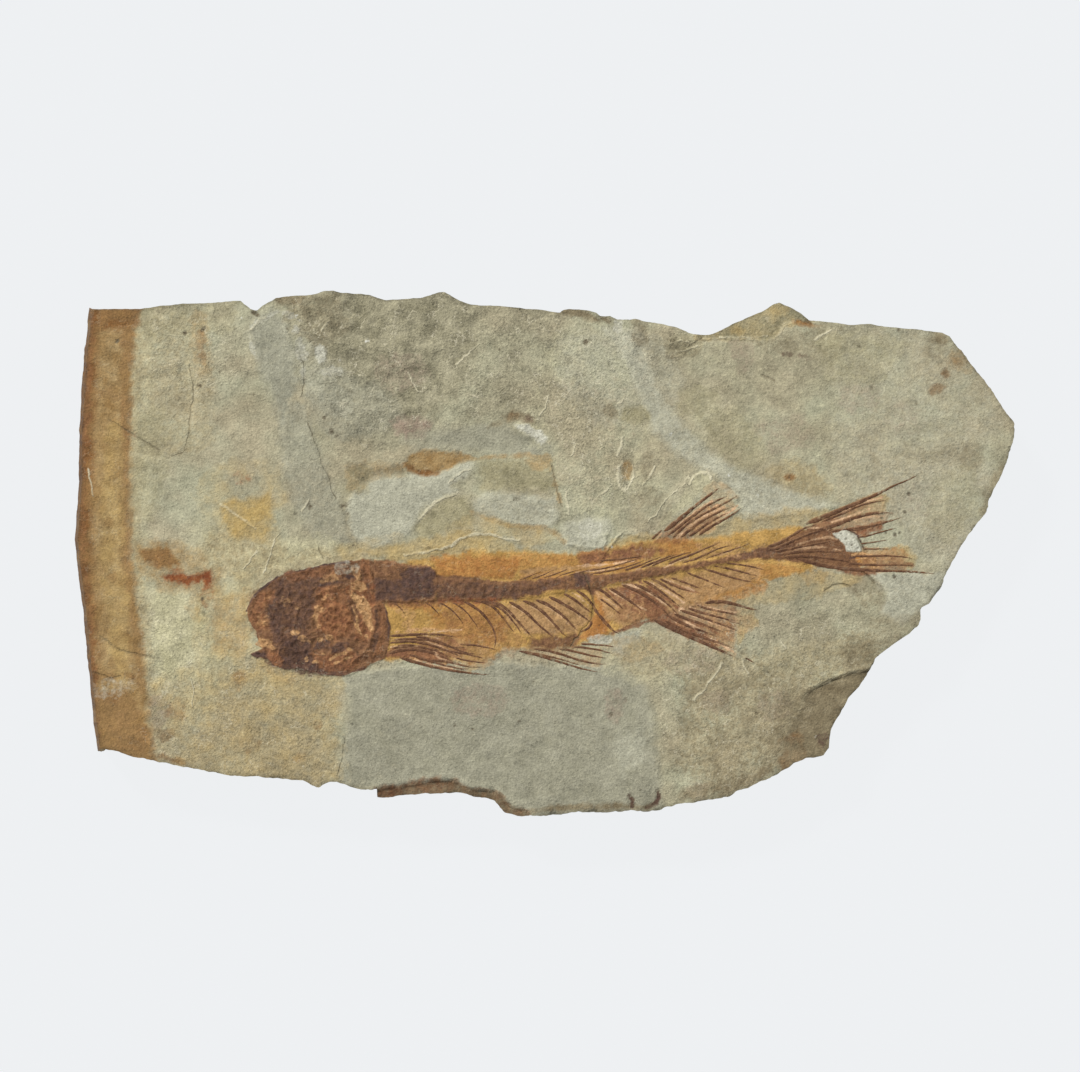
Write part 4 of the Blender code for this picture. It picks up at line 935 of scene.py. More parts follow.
def noise(x, y, size, seed, octaves=3, gain=0.5):
    """Gradient noise, about -1 to 1. A random slope stands at each corner of a square grid of that size, and
    inside a square the four planes are blended by 6t^5 - 15t^4 + 10t^3. Each octave halves the size and has
    gain times the height of the one before."""
    total = np.zeros(np.shape(x))
    height = 1.0
    for octave in range(octaves):
        angles = np.random.default_rng(seed * 31 + octave).uniform(0, 2 * np.pi, (256, 256))
        u = x / size + 17.3 * octave + 128
        v = y / size + 5.9 * octave + 128
        i = np.floor(u).astype(int)
        j = np.floor(v).astype(int)
        a = u - i
        b = v - j
        wa = a ** 3 * (a * (a * 6 - 15) + 10)
        wb = b ** 3 * (b * (b * 6 - 15) + 10)
        planes = []
        for di, dj in ((0, 0), (1, 0), (0, 1), (1, 1)):
            angle = angles[(i + di) & 255, (j + dj) & 255]
            planes.append(np.cos(angle) * (a - di) + np.sin(angle) * (b - dj))
        low = planes[0] + (planes[1] - planes[0]) * wa
        high = planes[2] + (planes[3] - planes[2]) * wa
        total += height * 1.5 * (low + (high - low) * wb)
        size /= 2
        height *= gain
    return total


def to_line(x, y, line):
    """Nearest place on the line through the points: the distance to it, the side of it (1 or -1), how far
    along the line it is in millimetres, and how far past the line's end the point lies."""
    nearest = np.full(x.shape, 1e9)
    side = np.ones(x.shape)
    along = np.zeros(x.shape)
    past = np.zeros(x.shape)
    walked = 0.0
    last = len(line) - 2
    for k, (start, end) in enumerate(zip(line[:-1], line[1:])):
        step = end - start
        length = np.hypot(*step)
        rx = x - start[0]
        ry = y - start[1]
        share = (rx * step[0] + ry * step[1]) / length ** 2
        held = np.clip(share, 0, 1)
        distance = np.hypot(rx - held * step[0], ry - held * step[1])
        closer = distance < nearest
        nearest = np.where(closer, distance, nearest)
        cross = step[0] * ry - step[1] * rx
        side = np.where(closer, np.where(cross < 0, -1.0, 1.0), side)
        along = np.where(closer, walked + held * length, along)
        beyond = np.zeros(x.shape)
        if k == 0:
            beyond = np.maximum(beyond, -share * length)
        if k == last:
            beyond = np.maximum(beyond, (share - 1) * length)
        past = np.where(closer, beyond, past)
        walked += length
    return nearest, side, along, past


def inside(x, y, ring):
    """Distance to the closed ring of points, positive inside it and negative outside."""
    closed = np.vstack([ring, ring[:1]])
    distance = to_line(x, y, closed)[0]
    crossings = np.zeros(x.shape, int)
    for start, end in zip(closed[:-1], closed[1:]):
        spans = (start[1] > y) != (end[1] > y)
        rise = end[1] - start[1] if end[1] != start[1] else 1e-12
        crossings += spans & (x < (end[0] - start[0]) * (y - start[1]) / rise + start[0])
    return np.where(crossings % 2 == 1, distance, -distance)


def near(x, y, points, margin):
    """Which points lie within margin of the drawn points' box."""
    low = points.min(0) - margin
    high = points.max(0) + margin
    return (x > low[0]) & (x < high[0]) & (y > low[1]) & (y < high[1])


def depth_in(x, y, shape, ragged):
    """How deep in the drawn shape each point lies, as a share of the shape's edge, from -1 to 1, and no more
    than its strength lets through. Ragged is a noise in millimetres that makes the rim wander."""
    form, edge, strength, drawn = shape
    field = np.full(x.shape, -1.0)
    points = placed(drawn if form == "area" else drawn[1])
    width = 0 if form == "area" else drawn[0] * UNIT
    close = near(x, y, points, edge + width + 0.6)
    if close.any():
        px, py = x[close], y[close]
        if form == "area":
            depth = inside(px, py, points)
        else:
            distance, _, along, _ = to_line(px, py, points)
            reach = along / max(along.max(), 1e-9)
            depth = width / 2 * (0.55 + 0.45 * smooth(4 * reach * (1 - reach))) - distance
        depth = depth + ragged[close] * min(0.45, 0.5 * edge + 0.08)
        field[close] = np.clip(depth / edge, -1, min(1, 2 * strength - 1))
    return field


LINE_REACH = 1.3  # how far from a thin line its two values are kept, in millimetres


def thin_lines(x, y, lines):
    """Two values that draw thin lines crisply on a coarse mesh: the signed distance to the nearest line over
    half its width, and a gate that is 1 on the line and falls to 0 at LINE_REACH or past the line's end."""
    side_value = np.full(x.shape, 40.0)
    gate = np.zeros(x.shape)
    wander = 0.16 * noise(x, y, 1.3, 71, 2)
    for width, drawn in lines:
        points = placed(drawn)
        close = near(x, y, points, LINE_REACH)
        if not close.any():
            continue
        distance, side, _, past = to_line(x[close] + wander[close], y[close] - wander[close], points)
        value = side * distance / (width * UNIT / 2)
        here = np.clip(1 - distance / LINE_REACH, 0, 1) * np.clip(1 - past / 0.35, 0, 1)
        better = here > gate[close]
        spots = np.flatnonzero(close)[better]
        side_value[spots] = value[better]
        gate[spots] = here[better]
    return np.clip(side_value, -40, 40), gate


def dots(x, y, marks):
    """How far each point lies inside the nearest of the round marks, in millimetres, down to -1.2 outside. A
    weaker mark counts as a smaller one."""
    field = np.full(x.shape, -1.2)
    for u, v, radius, strength in marks:
        middle = placed([(u, v)])[0]
        away = np.hypot(x - middle[0], y - middle[1])
        field = np.maximum(field, radius * UNIT - 0.12 * (1 - strength) - away)
    return field


# ---------------------------------------------------------------------------------------------------------
# Heights.


def relief(x, y, shapes):
    """The sum of the flakes: each is its height times a smooth step across its ragged rim."""
    total = np.zeros(x.shape)
    ragged = noise(x, y, 1.8, 41, 3)
    for height, rim, drawn in shapes:
        points = placed(drawn)
        close = near(x, y, points, rim + 1.0)
        if close.any():
            depth = inside(x[close], y[close], points) + 0.3 * ragged[close]
            total[close] += height * smooth(0.5 + depth / rim)
    return total


def ground(x, y):
    """Height of the stone's face, in millimetres: a level, long waves, thin flakes with stepped edges, a
    rougher stretch along the top edge, pits, cracks and the terraces where upper beds have broken away."""
    settings = bpy.context.scene.fossil_slab
    level = FACE + settings.waviness * noise(x, y, 26, 3, 2) + 0.35 * settings.waviness * noise(x, y, 7, 4, 2)
    level = level + relief(x, y, FLAKES)
    rough = smooth(0.5 + 0.5 * depth_in(x, y, STAINS["khaki"][0], 2 * noise(x, y, 4, 12, 2)))
    steps = noise(x, y, 5.5, 5, 4, 0.55) * 2.6
    stepped = np.floor(steps) + smooth((steps - np.floor(steps) - 0.5) * 3.2 + 0.5)
    level = level + stepped * (0.035 + 0.07 * rough)
    fine = noise(x, y, 1.5, 6, 2, 0.6)
    level = level + settings.grain * fine * (0.7 + 1.6 * rough) - 0.12 * rough
    level = level - 0.12 * smooth(0.5 + dots(x, y, DOTS["pit_shade"]) / 0.3)
    side_value, gate = thin_lines(x, y, CRACKS)
    level = level - 0.12 * gate ** 2 * np.exp(-np.abs(side_value) / 2)
    side_value, gate = thin_lines(x, y, BRIGHT_EDGES)
    level = level + 0.06 * gate ** 2 * np.exp(-np.abs(side_value) / 2)
    ragged = noise(x, y, 2.6, 43, 3)
    start, end = placed([(0, v) for v in RIM_WIDENS])[:, 1]
    wider = smooth((y - start) / (end - start))
    for depth, rim, growth, wander, drawn in TERRACES:
        step = inside(x, y, placed(drawn)) + wander * ragged
        level = level - depth * smooth(0.5 + step / (rim + growth * wider))
    return level


def backbone_relief(x, y):
    """A low rounded ridge along the backbone, pinched between one vertebra and the next."""
    line = np.array(BACKBONE, float)
    distance, _, along, _ = to_line(x, y, placed(line[:, :2]))
    walked = np.concatenate([[0], np.cumsum(np.hypot(*np.diff(line[:, :2], axis=0).T))]) * UNIT
    half_width = np.interp(along, walked, line[:, 2] * UNIT)
    pitch = 1.55 - 0.5 * along / walked[-1]
    bead = 0.72 + 0.28 * np.abs(np.cos(np.pi * along / pitch))
    crown = np.sqrt(np.clip(1 - (distance / half_width) ** 2, 0, 1))
    return bead * crown * (0.3 - 0.12 * along / walked[-1])


def trunk_relief(x, y):
    """What the trunk adds to the ground: the film of the flesh, the dark shoulder, the backbone and their
    crumbling. It falls below the stone outside the film."""
    crumble = noise(x, y, 0.9, 21, 3, 0.6)
    ragged = noise(x, y, 1.6, 22, 3)
    film = inside(x, y, placed(FILM)) + 0.2 * ragged
    lift = 0.07 * smooth(0.5 + film / 0.8)
    shoulder = inside(x, y, placed(SHOULDER)) + 0.2 * ragged
    block = smooth(0.5 + shoulder / 0.45)
    lift = lift + 0.26 * block * (1 + 0.25 * crumble)
    ridge = backbone_relief(x, y)
    lift = lift + ridge * (1 - 0.8 * block) * (1 + 0.35 * crumble)
    streaks = noise(x * 0.35, y * 1.5, 1.0, 23, 3)
    return lift + 0.018 * streaks * smooth(0.5 + film / 0.8)


def head_relief(x, y):
    """What the head adds to the ground: a low dome with a steep rim, bony plates with raised and broken
    edges, the round cheek, and the gape of the mouth."""
    ragged = noise(x, y, 1.2, 31, 3)
    depth = inside(x, y, placed(HEAD)) + 0.14 * ragged
    dome = 0.16 * smooth(0.5 + depth / 0.4) + 0.22 * smooth(depth / 3.5)
    plates = 1 - np.abs(noise(x, y, 2.4, 32, 3, 0.5)) * 2
    crumble = noise(x, y, 0.8, 33, 3, 0.65)
    cheek_middle = placed([(335, 621)])[0]
    from_cheek = np.hypot(x - cheek_middle[0], y - cheek_middle[1])
    cheek = 0.14 * smooth((2.6 - from_cheek) / 0.8) - 0.1 * np.exp(-((from_cheek - 2.8) / 0.3) ** 2)
    inner = smooth(depth / 0.9)
    lift = dome + inner * (0.17 * (plates - 0.5) + 0.035 * crumble) + cheek * inner
    gill_cover = placed([(352, 562), (364, 577), (371, 592), (375, 610), (375, 628), (368, 648), (352, 664)])
    distance, side, _, _ = to_line(x, y, gill_cover)
    lift = lift + inner * 0.10 * np.exp(-(distance / 0.3) ** 2) - inner * 0.08 * smooth(0.5 - side * distance)
    return lift


def surface(x, y):
    """Height of whatever is uppermost of the stone, the trunk and the head."""
    low = ground(x, y)
    return np.maximum(low, low + np.maximum(trunk_relief(x, y), 0))


# ---------------------------------------------------------------------------------------------------------
# Meshes.


def stain_values(x, y):
    """For every kind of stain, how deep in it each point lies, and the two values of each set of thin lines."""
    ragged = noise(x, y, 1.7, 51, 4, 0.6)
    values = {}
    for kind, shapes in STAINS.items():
        field = np.full(x.shape, -1.0)
        for shape in shapes:
            field = np.maximum(field, depth_in(x, y, shape, ragged))
        values[kind] = field
    values["crust"] = np.full(x.shape, -0.5)
    for shape in CRUSTY:
        values["crust"] = np.maximum(values["crust"], depth_in(x, y, shape, 3 * ragged))
    for kind, marks in DOTS.items():
        values[kind] = dots(x, y, marks)
    values["crack_side"], values["crack_gate"] = thin_lines(x, y, CRACKS)
    values["bright_side"], values["bright_gate"] = thin_lines(x, y, BRIGHT_EDGES)
    return values


def mesh_object(name, points, quads, lids, values, uv, crease=math.radians(55)):
    """A mesh object from points in millimetres, an array of quads and lists of lid corners, riding on the
    CAD body. Values are stored as one attribute for each name, and uv as the map the bake uses, which has
    one value for each point or for each corner."""
    mesh = bpy.data.meshes.new(name)
    corners = [quads.ravel()] + [np.asarray(lid) for lid in lids]
    sizes = np.concatenate([np.full(len(quads), 4)] + [np.array([len(lid)]) for lid in lids])
    starts = np.concatenate([[0], np.cumsum(sizes)[:-1]])
    loops = np.concatenate(corners)
    mesh.vertices.add(len(points))
    mesh.vertices.foreach_set("co", (points * MM).astype(np.float32).ravel())
    mesh.loops.add(len(loops))
    mesh.loops.foreach_set("vertex_index", loops.astype(np.int32))
    mesh.polygons.add(len(sizes))
    mesh.polygons.foreach_set("loop_start", starts.astype(np.int32))
    mesh.update(calc_edges=True)
    mesh.validate()
    for key, array in values.items():
        layer = mesh.attributes.new(key, "FLOAT", "POINT")
        layer.data.foreach_set("value", np.asarray(array, np.float32).ravel())
    layer = mesh.uv_layers.new(name="OFBake")
    uv = uv if len(uv) == len(loops) else uv[loops]
    layer.data.foreach_set("uv", uv.astype(np.float32).ravel())
    mesh.polygons.foreach_set("use_smooth", np.ones(len(sizes), bool))
    mesh.set_sharp_from_angle(angle=crease)
    made = bpy.data.objects.new(name, mesh)
    bpy.context.scene.collection.objects.link(made)
    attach(made, BODY)
    return made


def proud(height, reach, depth):
    """How far each point of a grid stands above the mean of the square of that reach around it, over the
    depth, held between -1 and 1."""
    wide = np.pad(height, reach, mode="edge")
    size = 2 * reach + 1
    for axis in (0, 1):
        total = np.cumsum(wide, axis=axis)
        first = np.zeros_like(np.take(total, [0], axis=axis))
        total = np.concatenate([first, total], axis=axis)
        count = total.shape[axis]
        wide = np.take(total, range(size, count), axis=axis) - np.take(total, range(count - size), axis=axis)
        wide = wide / size
    return np.clip((height - wide) / depth, -1, 1)


def grid_quads(rows, columns, first=0):
    """The quads of a grid of points stored row by row, facing up where rows run to +Y and columns to +X."""
    index = first + np.arange(rows * columns).reshape(rows, columns)
    return np.stack([index[:-1, :-1], index[:-1, 1:], index[1:, 1:], index[1:, :-1]], -1).reshape(-1, 4)


def rim_of(rows, columns):
    """The grid's border as a ring, counter-clockwise seen from above."""
    index = np.arange(rows * columns).reshape(rows, columns)
    return np.concatenate([index[0, :-1], index[:-1, -1], index[-1, :0:-1], index[:0:-1, 0]])


def ring_quads(rings):
    """The quads between rings of points, each ring lower than the one before, facing out."""
    after = np.roll(rings, -1, axis=1)
    return np.stack([rings[:-1], rings[1:], after[1:], after[:-1]], -1).reshape(-1, 4)


def evenly(points, count, seed, jitter):
    """Count points at even steps along the line, each pushed sideways by a noise of the way along it. The
    push fades to nothing at both ends."""
    steps = np.hypot(*np.diff(points, axis=0).T)
    walked = np.concatenate([[0], np.cumsum(steps)])
    at = np.linspace(0, walked[-1], count)
    x = np.interp(at, walked, points[:, 0])
    y = np.interp(at, walked, points[:, 1])
    dx = np.gradient(x)
    dy = np.gradient(y)
    length = np.hypot(dx, dy)
    fade = smooth(at / 2) * smooth((walked[-1] - at) / 2)
    push = jitter * fade * noise(at, at * 0 + seed, 1.8, seed, 3, 0.7)
    return np.stack([x - push * dy / length, y + push * dx / length], 1)


def coons(left, right, bottom, top):
    """A grid between four edges: the blend of left and right, plus the blend of bottom and top, less the
    blend of the four corners. Rows run from bottom to top and columns from left to right."""
    s = np.linspace(0, 1, len(bottom))[None, :, None]
    t = np.linspace(0, 1, len(left))[:, None, None]
    across = (1 - s) * left[:, None] + s * right[:, None]
    along = (1 - t) * bottom[None] + t * top[None]
    low = (1 - s) * bottom[0] + s * bottom[-1]
    high = (1 - s) * top[0] + s * top[-1]
    return across + along - ((1 - t) * low + t * high)


def outline_grid(columns, rows, inset):
    """The face as a grid of x and y inside the drawn outline. Inset gives how far each of the left, right,
    bottom and top edges stands inside the drawing."""
    edges = []
    for drawn, count, seed, jitter, inwards in (
            (LEFT_EDGE, rows, 1, 0.05, (inset[0], 0)), (RIGHT_EDGE, rows, 2, 0.12, (-inset[1], 0)),
            (BOTTOM_EDGE, columns, 3, 0.12, (0, inset[2])), (TOP_EDGE, columns, 4, 0.06, (0, -inset[3]))):
        edges.append(evenly(placed(drawn), count, seed, jitter) + np.array(inwards))
    left, right, bottom, top = edges
    for edge, other, end in ((left, bottom, 0), (left, top, -1)):
        other[0] = edge[end] = (edge[end][0], other[0][1])
    for edge, other, end in ((right, bottom, 0), (right, top, -1)):
        other[-1] = edge[end] = (edge[end][0], other[-1][1])
    return coons(left, right, bottom, top)


# ---------------------------------------------------------------------------------------------------------
# Settings.


def linear(hex_colour):
    """An sRGB hex colour as linear red, green and blue."""
    parts = [int(hex_colour[i:i + 2], 16) / 255 for i in (1, 3, 5)]
    return tuple(c / 12.92 if c <= 0.04045 else ((c + 0.055) / 1.055) ** 2.4 for c in parts)


# Two colours that each kind of stone, stain or bone is mottled with, darker first.
COLOURS = {
    "limestone": ("#a29f85", "#bcb89c", "bare limestone, a pale greenish khaki"),
    "tinge": ("#b4a484", "#abaa8e", "tinges of the limestone, yellowish and greyish"),
    "khaki": ("#918b70", "#a9a389", "rough stone along the upper edge"),
    "grey": ("#95927c", "#a8a590", "fresh grey stone below the fish"),
    "cream": ("#bbb58f", "#cfc9a6", "pale yellowish stone"),
    "tan": ("#a08f6a", "#b8a981", "stone browned by weathering"),
    "chalk": ("#aba993", "#bebca6", "pale filler-like patches"),
    "filler": ("#989682", "#a9a792", "greenish grey filler-like band"),
    "mauve": ("#8a7968", "#a08e7c", "purplish grey tinge"),
    "olive": ("#989170", "#ada584", "olive tinge"),
    "drab": ("#7a6d53", "#968a6e", "lower beds laid bare"),
    "rust": ("#98794c", "#b59b6e", "iron-stained rim on the left"),
    "umber": ("#75522f", "#93693c", "darkest iron stain"),
    "ochre": ("#a98e58", "#bfa66d", "yellow stain"),
    "film": ("#ab8647", "#c69f5d", "golden film of the flesh"),
    "orange": ("#a16a36", "#bd884b", "orange stain"),
    "flesh": ("#99754d", "#bf9969", "pinkish tan film"),
    "membrane": ("#a88960", "#c0a37a", "pale skin between the fin rays"),
    "brown": ("#7a5038", "#986c4a", "red-brown film"),
    "bone": ("#644430", "#906a48", "mineralised bone"),
    "dark": ("#46342e", "#644b40", "darkest bone"),
    "gleam": ("#c79f78", "#e0bd97", "pale ridges between rays and ribs"),
    "cheek": ("#7a4c32", "#a0724b", "reddish bone of the cheek"),
    "straw": ("#ac7f50", "#cfa676", "bright flakes of bone"),
    "red": ("#773f26", "#a0663d", "red-brown stain"),
    "white": ("#b0ae9b", "#cbc9b8", "white chips"),
    # pit_shade is the painted shade in the small pits.
    "pit_shade": ("#5a4f3c", "#746853", "small pits"),
    "sparkle": ("#dcdccf", "#f4f4ec", "bright grains"),
    # crack is the painted shade in the fine cracks.
    "crack": ("#665a43", "#81745a", "fine cracks"),
    # bright is the painted highlight on flake edges and on the risers of the laminae.
    "bright": ("#d0c8a6", "#e4dcc0", "edges of flakes"),
    "side": ("#71674f", "#a59b7c", "broken side walls"),
    "ray": ("#533625", "#79553a", "fin rays and ribs"),
}


class FossilColours(bpy.types.PropertyGroup):
    """Two linear colours for every kind of stone, stain and bone."""

    __annotations__ = {
        f"{kind}_{tone}": FloatVectorProperty(
            name=f"{kind.capitalize()} {tone}", description=f"The {tone} tone of the {words}",
            subtype="COLOR", size=3, min=0, max=1, default=linear(pair[tone == "light"]))
        for kind, (*pair, words) in COLOURS.items() for tone in ("dark", "light")
    }


class FossilSlabSettings(bpy.types.PropertyGroup):
    """Sizes of the slab's surface."""

    waviness: FloatProperty(name="Waviness", description="Height of the face's long waves, in millimetres",
                            default=0.14, min=0, max=1)
    grain: FloatProperty(name="Grain", description="Height of the stone's coarse grain, in millimetres",
                         default=0.035, min=0, max=0.5)
    columns: IntProperty(name="Columns", description="Points along the face", default=352, min=40, max=360)
    rows: IntProperty(name="Rows", description="Points across the face", default=190, min=20, max=195)
    bump: FloatProperty(name="Bump", description="Length of one unit of the fine grain's height", unit="LENGTH",
                        default=0.001, min=0, max=0.01)
    bone_thickness: FloatProperty(name="Bone thickness", description="Height of a fine bone over its width",
                                  default=0.26, min=0.05, max=1)


class FossilStageSettings(bpy.types.PropertyGroup):
    """Light, floor and camera."""

    sky: FloatProperty(name="Sky", description="Strength of the even light", default=0.485, min=0, max=10)
    sun: FloatProperty(name="Sun", description="Share of the light that comes from the lamp", default=0.545,
                       min=0, max=10)
    sun_elevation: FloatProperty(name="Lamp elevation", description="Height of the lamp above the horizon",
                                 subtype="ANGLE", default=math.radians(38))
    sun_azimuth: FloatProperty(name="Lamp azimuth", description="Way to the lamp, from +X towards +Y",
                               subtype="ANGLE", default=math.radians(130))
    tilt: FloatProperty(name="Camera tilt", description="How far the camera leans from straight down",
                        subtype="ANGLE", default=math.radians(3.5))
    lens: FloatProperty(name="Lens", description="Focal length, in millimetres", default=150, min=20, max=400)


# ---------------------------------------------------------------------------------------------------------
# Materials.


def add(tree, kind, inputs=None, **settings):
    """A new node with its settings. Inputs maps a socket's name or number to a value, or to the output
    socket that it is linked to."""
    node = tree.nodes.new(kind)
    for key, value in settings.items():
        setattr(node, key, value)
    for key, value in (inputs or {}).items():
        if isinstance(value, bpy.types.NodeSocket):
            tree.links.new(value, node.inputs[key])
        else:
            node.inputs[key].default_value = value
    return node


# Sizes of the patterns in the stone, in millimetres, with detail and roughness.
PATTERNS = {
    "broad": (7.0, 3, 0.5),
    "middle": (2.6, 4, 0.6),
    "fine": (0.8, 3, 0.62),
    "grit": (0.3, 2, 0.6),
}

# How each kind is mottled and how its rim wanders: mottle pattern and its contrast, rim pattern and its reach.
MOTTLES = {
    "khaki": ("middle", 0, 1.6, "fine", 1, 0.3),
    "filler": ("middle", 1, 1.6, "fine", 1, 0.25),
    "grey": ("middle", 1, 1.6, "fine", 2, 0.2),
    "cream": ("middle", 2, 2.0, "fine", 0, 0.3),
    "tan": ("fine", 0, 1.8, "fine", 1, 0.35),
    "chalk": ("fine", 1, 1.8, "fine", 2, 0.3),
    "mauve": ("fine", 1, 1.6, "fine", 0, 0.4),
    "drab": ("middle", 0, 2.2, "fine", 1, 0.3),
    "olive": ("middle", 0, 1.6, "fine", 1, 0.35),
    "rust": ("middle", 2, 3.0, "fine", 0, 0.3),
    "umber": ("fine", 1, 2.2, "middle", 2, 0.45),
    "ochre": ("fine", 2, 2.0, "middle", 0, 0.35),
    "film": ("middle", 0, 2.6, "fine", 1, 0.3),
    "orange": ("middle", 1, 2.4, "fine", 2, 0.35),
    "flesh": ("fine", 2, 2.4, "fine", 0, 0.35),
    "membrane": ("fine", 1, 2.0, "fine", 0, 0.3),
    "brown": ("fine", 0, 2.2, "fine", 1, 0.3),
    "bone": ("fine", 1, 2.0, "fine", 2, 0.25),
    "dark": ("fine", 2, 1.8, "fine", 0, 0.5),
    "gleam": ("grit", 1, 2.0, "fine", 1, 0.35),
    "cheek": ("fine", 0, 2.0, "fine", 1, 0.4),
    "straw": ("grit", 1, 2.4, "fine", 2, 0.6),
    "red": ("fine", 2, 2.2, "fine", 0, 0.5),
    "white": ("grit", 0, 2.4, "fine", 1, 0.45),
}


def stone_nodes(tree, plated=False):
    """The colour and the height of stained limestone, as two sockets, from the Object coordinates and the
    stain attributes of the mesh. The height is in millimetres: thin laminae with stepped edges, crusty grain,
    sunken cracks and raised flake edges. The colour also holds painted light and shade: a painted highlight on
    flake edges and lamina risers, painted shade in cracks and pits, and grain painted paler where it stands
    proud and darker where it is sunk."""
    colours = bpy.context.scene.fossil_slab.colours
    place = add(tree, "ShaderNodeTexCoord").outputs["Object"]
    channels = {}
    for key, (size, detail, rough) in PATTERNS.items():
        pattern = add(tree, "ShaderNodeTexNoise",
                      {"Vector": place, "Scale": 1 / (size * MM), "Detail": detail, "Roughness": rough})
        channels[key] = add(tree, "ShaderNodeSeparateColor", {0: pattern.outputs["Color"]}).outputs

    def sum_of(start, *terms):
        total = start
        for socket, share in terms:
            total = add(tree, "ShaderNodeMath", {0: socket, 1: share, 2: total}, operation="MULTIPLY_ADD")
            total = total.outputs[0]
        return total

    def tones(kind, key, channel, contrast):
        spread = add(tree, "ShaderNodeMath",
                     {0: channels[key][channel], 1: contrast, 2: 0.5 - contrast / 2},
                     operation="MULTIPLY_ADD", use_clamp=True).outputs[0]
        dark = (*getattr(colours, f"{kind}_dark"), 1)
        light = (*getattr(colours, f"{kind}_light"), 1)
        return add(tree, "ShaderNodeMix", {0: spread, 6: dark, 7: light}, data_type="RGBA").outputs[2]

    colour = tones("limestone", "broad", 0, 3.0)
    tinge = tones("tinge", "broad", 1, 4.0)
    colour = add(tree, "ShaderNodeMix", {0: 0.5, 6: colour, 7: tinge}, data_type="RGBA").outputs[2]
    for kind, (key, channel, contrast, rim, rim_channel, reach) in MOTTLES.items():
        field = add(tree, "ShaderNodeAttribute", attribute_name=kind).outputs["Fac"]
        wander = add(tree, "ShaderNodeMath", {0: channels[rim][rim_channel], 1: 4 * reach, 2: 0.5 - 2 * reach},
                     operation="MULTIPLY_ADD").outputs[0]
        share = add(tree, "ShaderNodeMath", {0: field, 1: 0.5 + reach, 2: wander},
                    operation="MULTIPLY_ADD", use_clamp=True).outputs[0]
        toned = tones(kind, key, channel, contrast)
        colour = add(tree, "ShaderNodeMix", {0: share, 6: colour, 7: toned}, data_type="RGBA").outputs[2]

    # Grain: a random mottle over every stain, and with it painted light and shade: what stands proud in the grain
    # and in the mesh (lift) is painted paler and what is sunk is painted darker, more so where the stone is crusty.
    crust = add(tree, "ShaderNodeAttribute", attribute_name="crust").outputs["Fac"]
    coarse = add(tree, "ShaderNodeMapRange", {0: crust, 1: -1.0, 2: 1.0, 3: 0.74, 4: 1.15}).outputs[0]
    grain = sum_of(-1.235, (channels["broad"][1], 0.5), (channels["middle"][0], 0.7), (channels["fine"][0], 0.5),
                   (channels["grit"][1], 0.7))
    for start, end, most in ((0.58, 0.72, -0.32), (0.42, 0.3, 0.3)):
        flecks = add(tree, "ShaderNodeMapRange", {0: channels["grit"][2], 1: start, 2: end, 3: 0.0, 4: most})
        grain = sum_of(grain, (flecks.outputs[0], 1.0))
    grain = add(tree, "ShaderNodeMath", {0: grain, 1: coarse, 2: 1.0}, operation="MULTIPLY_ADD").outputs[0]
    lift = add(tree, "ShaderNodeAttribute", attribute_name="lift").outputs["Fac"]
    grain = sum_of(grain, (lift, 1.0))
    shards = None
    if plated:
        shift = add(tree, "ShaderNodeVectorMath", {0: pattern.outputs["Color"], 1: (0.5, 0.5, 0.5)},
                    operation="SUBTRACT").outputs[0]
        warped = add(tree, "ShaderNodeVectorMath", {0: shift, 1: (0.9 * MM,) * 3, 2: place},
                     operation="MULTIPLY_ADD").outputs[0]
        broken = add(tree, "ShaderNodeTexVoronoi", {"Vector": warped, "Scale": 1 / (1.1 * MM)})
        shard = add(tree, "ShaderNodeSeparateColor", {0: broken.outputs["Color"]}).outputs[0]
        plates = add(tree, "ShaderNodeAttribute", attribute_name="plates").outputs["Fac"]
        shard = add(tree, "ShaderNodeMath", {0: shard, 1: -0.5}, operation="ADD").outputs[0]
        shards = add(tree, "ShaderNodeMath", {0: shard, 1: plates}, operation="MULTIPLY").outputs[0]
        grain = sum_of(grain, (shards, 0.22))
    # The dots: the pits are painted dark as painted shade, and the sparkles pale.
    for kind in DOTS:
        field = add(tree, "ShaderNodeAttribute", attribute_name=kind).outputs["Fac"]
        field = sum_of(field, (channels["grit"][0], 0.5), (channels["fine"][2], 0.4))
        share = add(tree, "ShaderNodeMapRange", {0: field, 1: 0.36, 2: 0.62, 3: 0.0, 4: 0.85}).outputs[0]
        toned = tones(kind, "grit", 0, 2.0)
        colour = add(tree, "ShaderNodeMix", {0: share, 6: colour, 7: toned}, data_type="RGBA").outputs[2]
    cells = add(tree, "ShaderNodeTexVoronoi", {"Vector": place, "Scale": 1 / (4.5 * MM)})
    chance = add(tree, "ShaderNodeSeparateColor", {0: cells.outputs["Color"]}).outputs[0]
    radius = add(tree, "ShaderNodeMapRange", {0: chance, 1: 0.45, 2: 1.0, 3: 0.0, 4: 0.085}).outputs[0]
    inwards = add(tree, "ShaderNodeMath", {0: radius, 1: cells.outputs["Distance"]}, operation="SUBTRACT")
    speck = add(tree, "ShaderNodeMapRange", {0: inwards.outputs[0], 1: -0.02, 2: 0.03, 3: 0.0, 4: -0.4})
    grain = sum_of(grain, (speck.outputs[0], 1.0))
    colour = add(tree, "ShaderNodeVectorMath", {0: colour, "Scale": grain}, operation="SCALE").outputs[0]

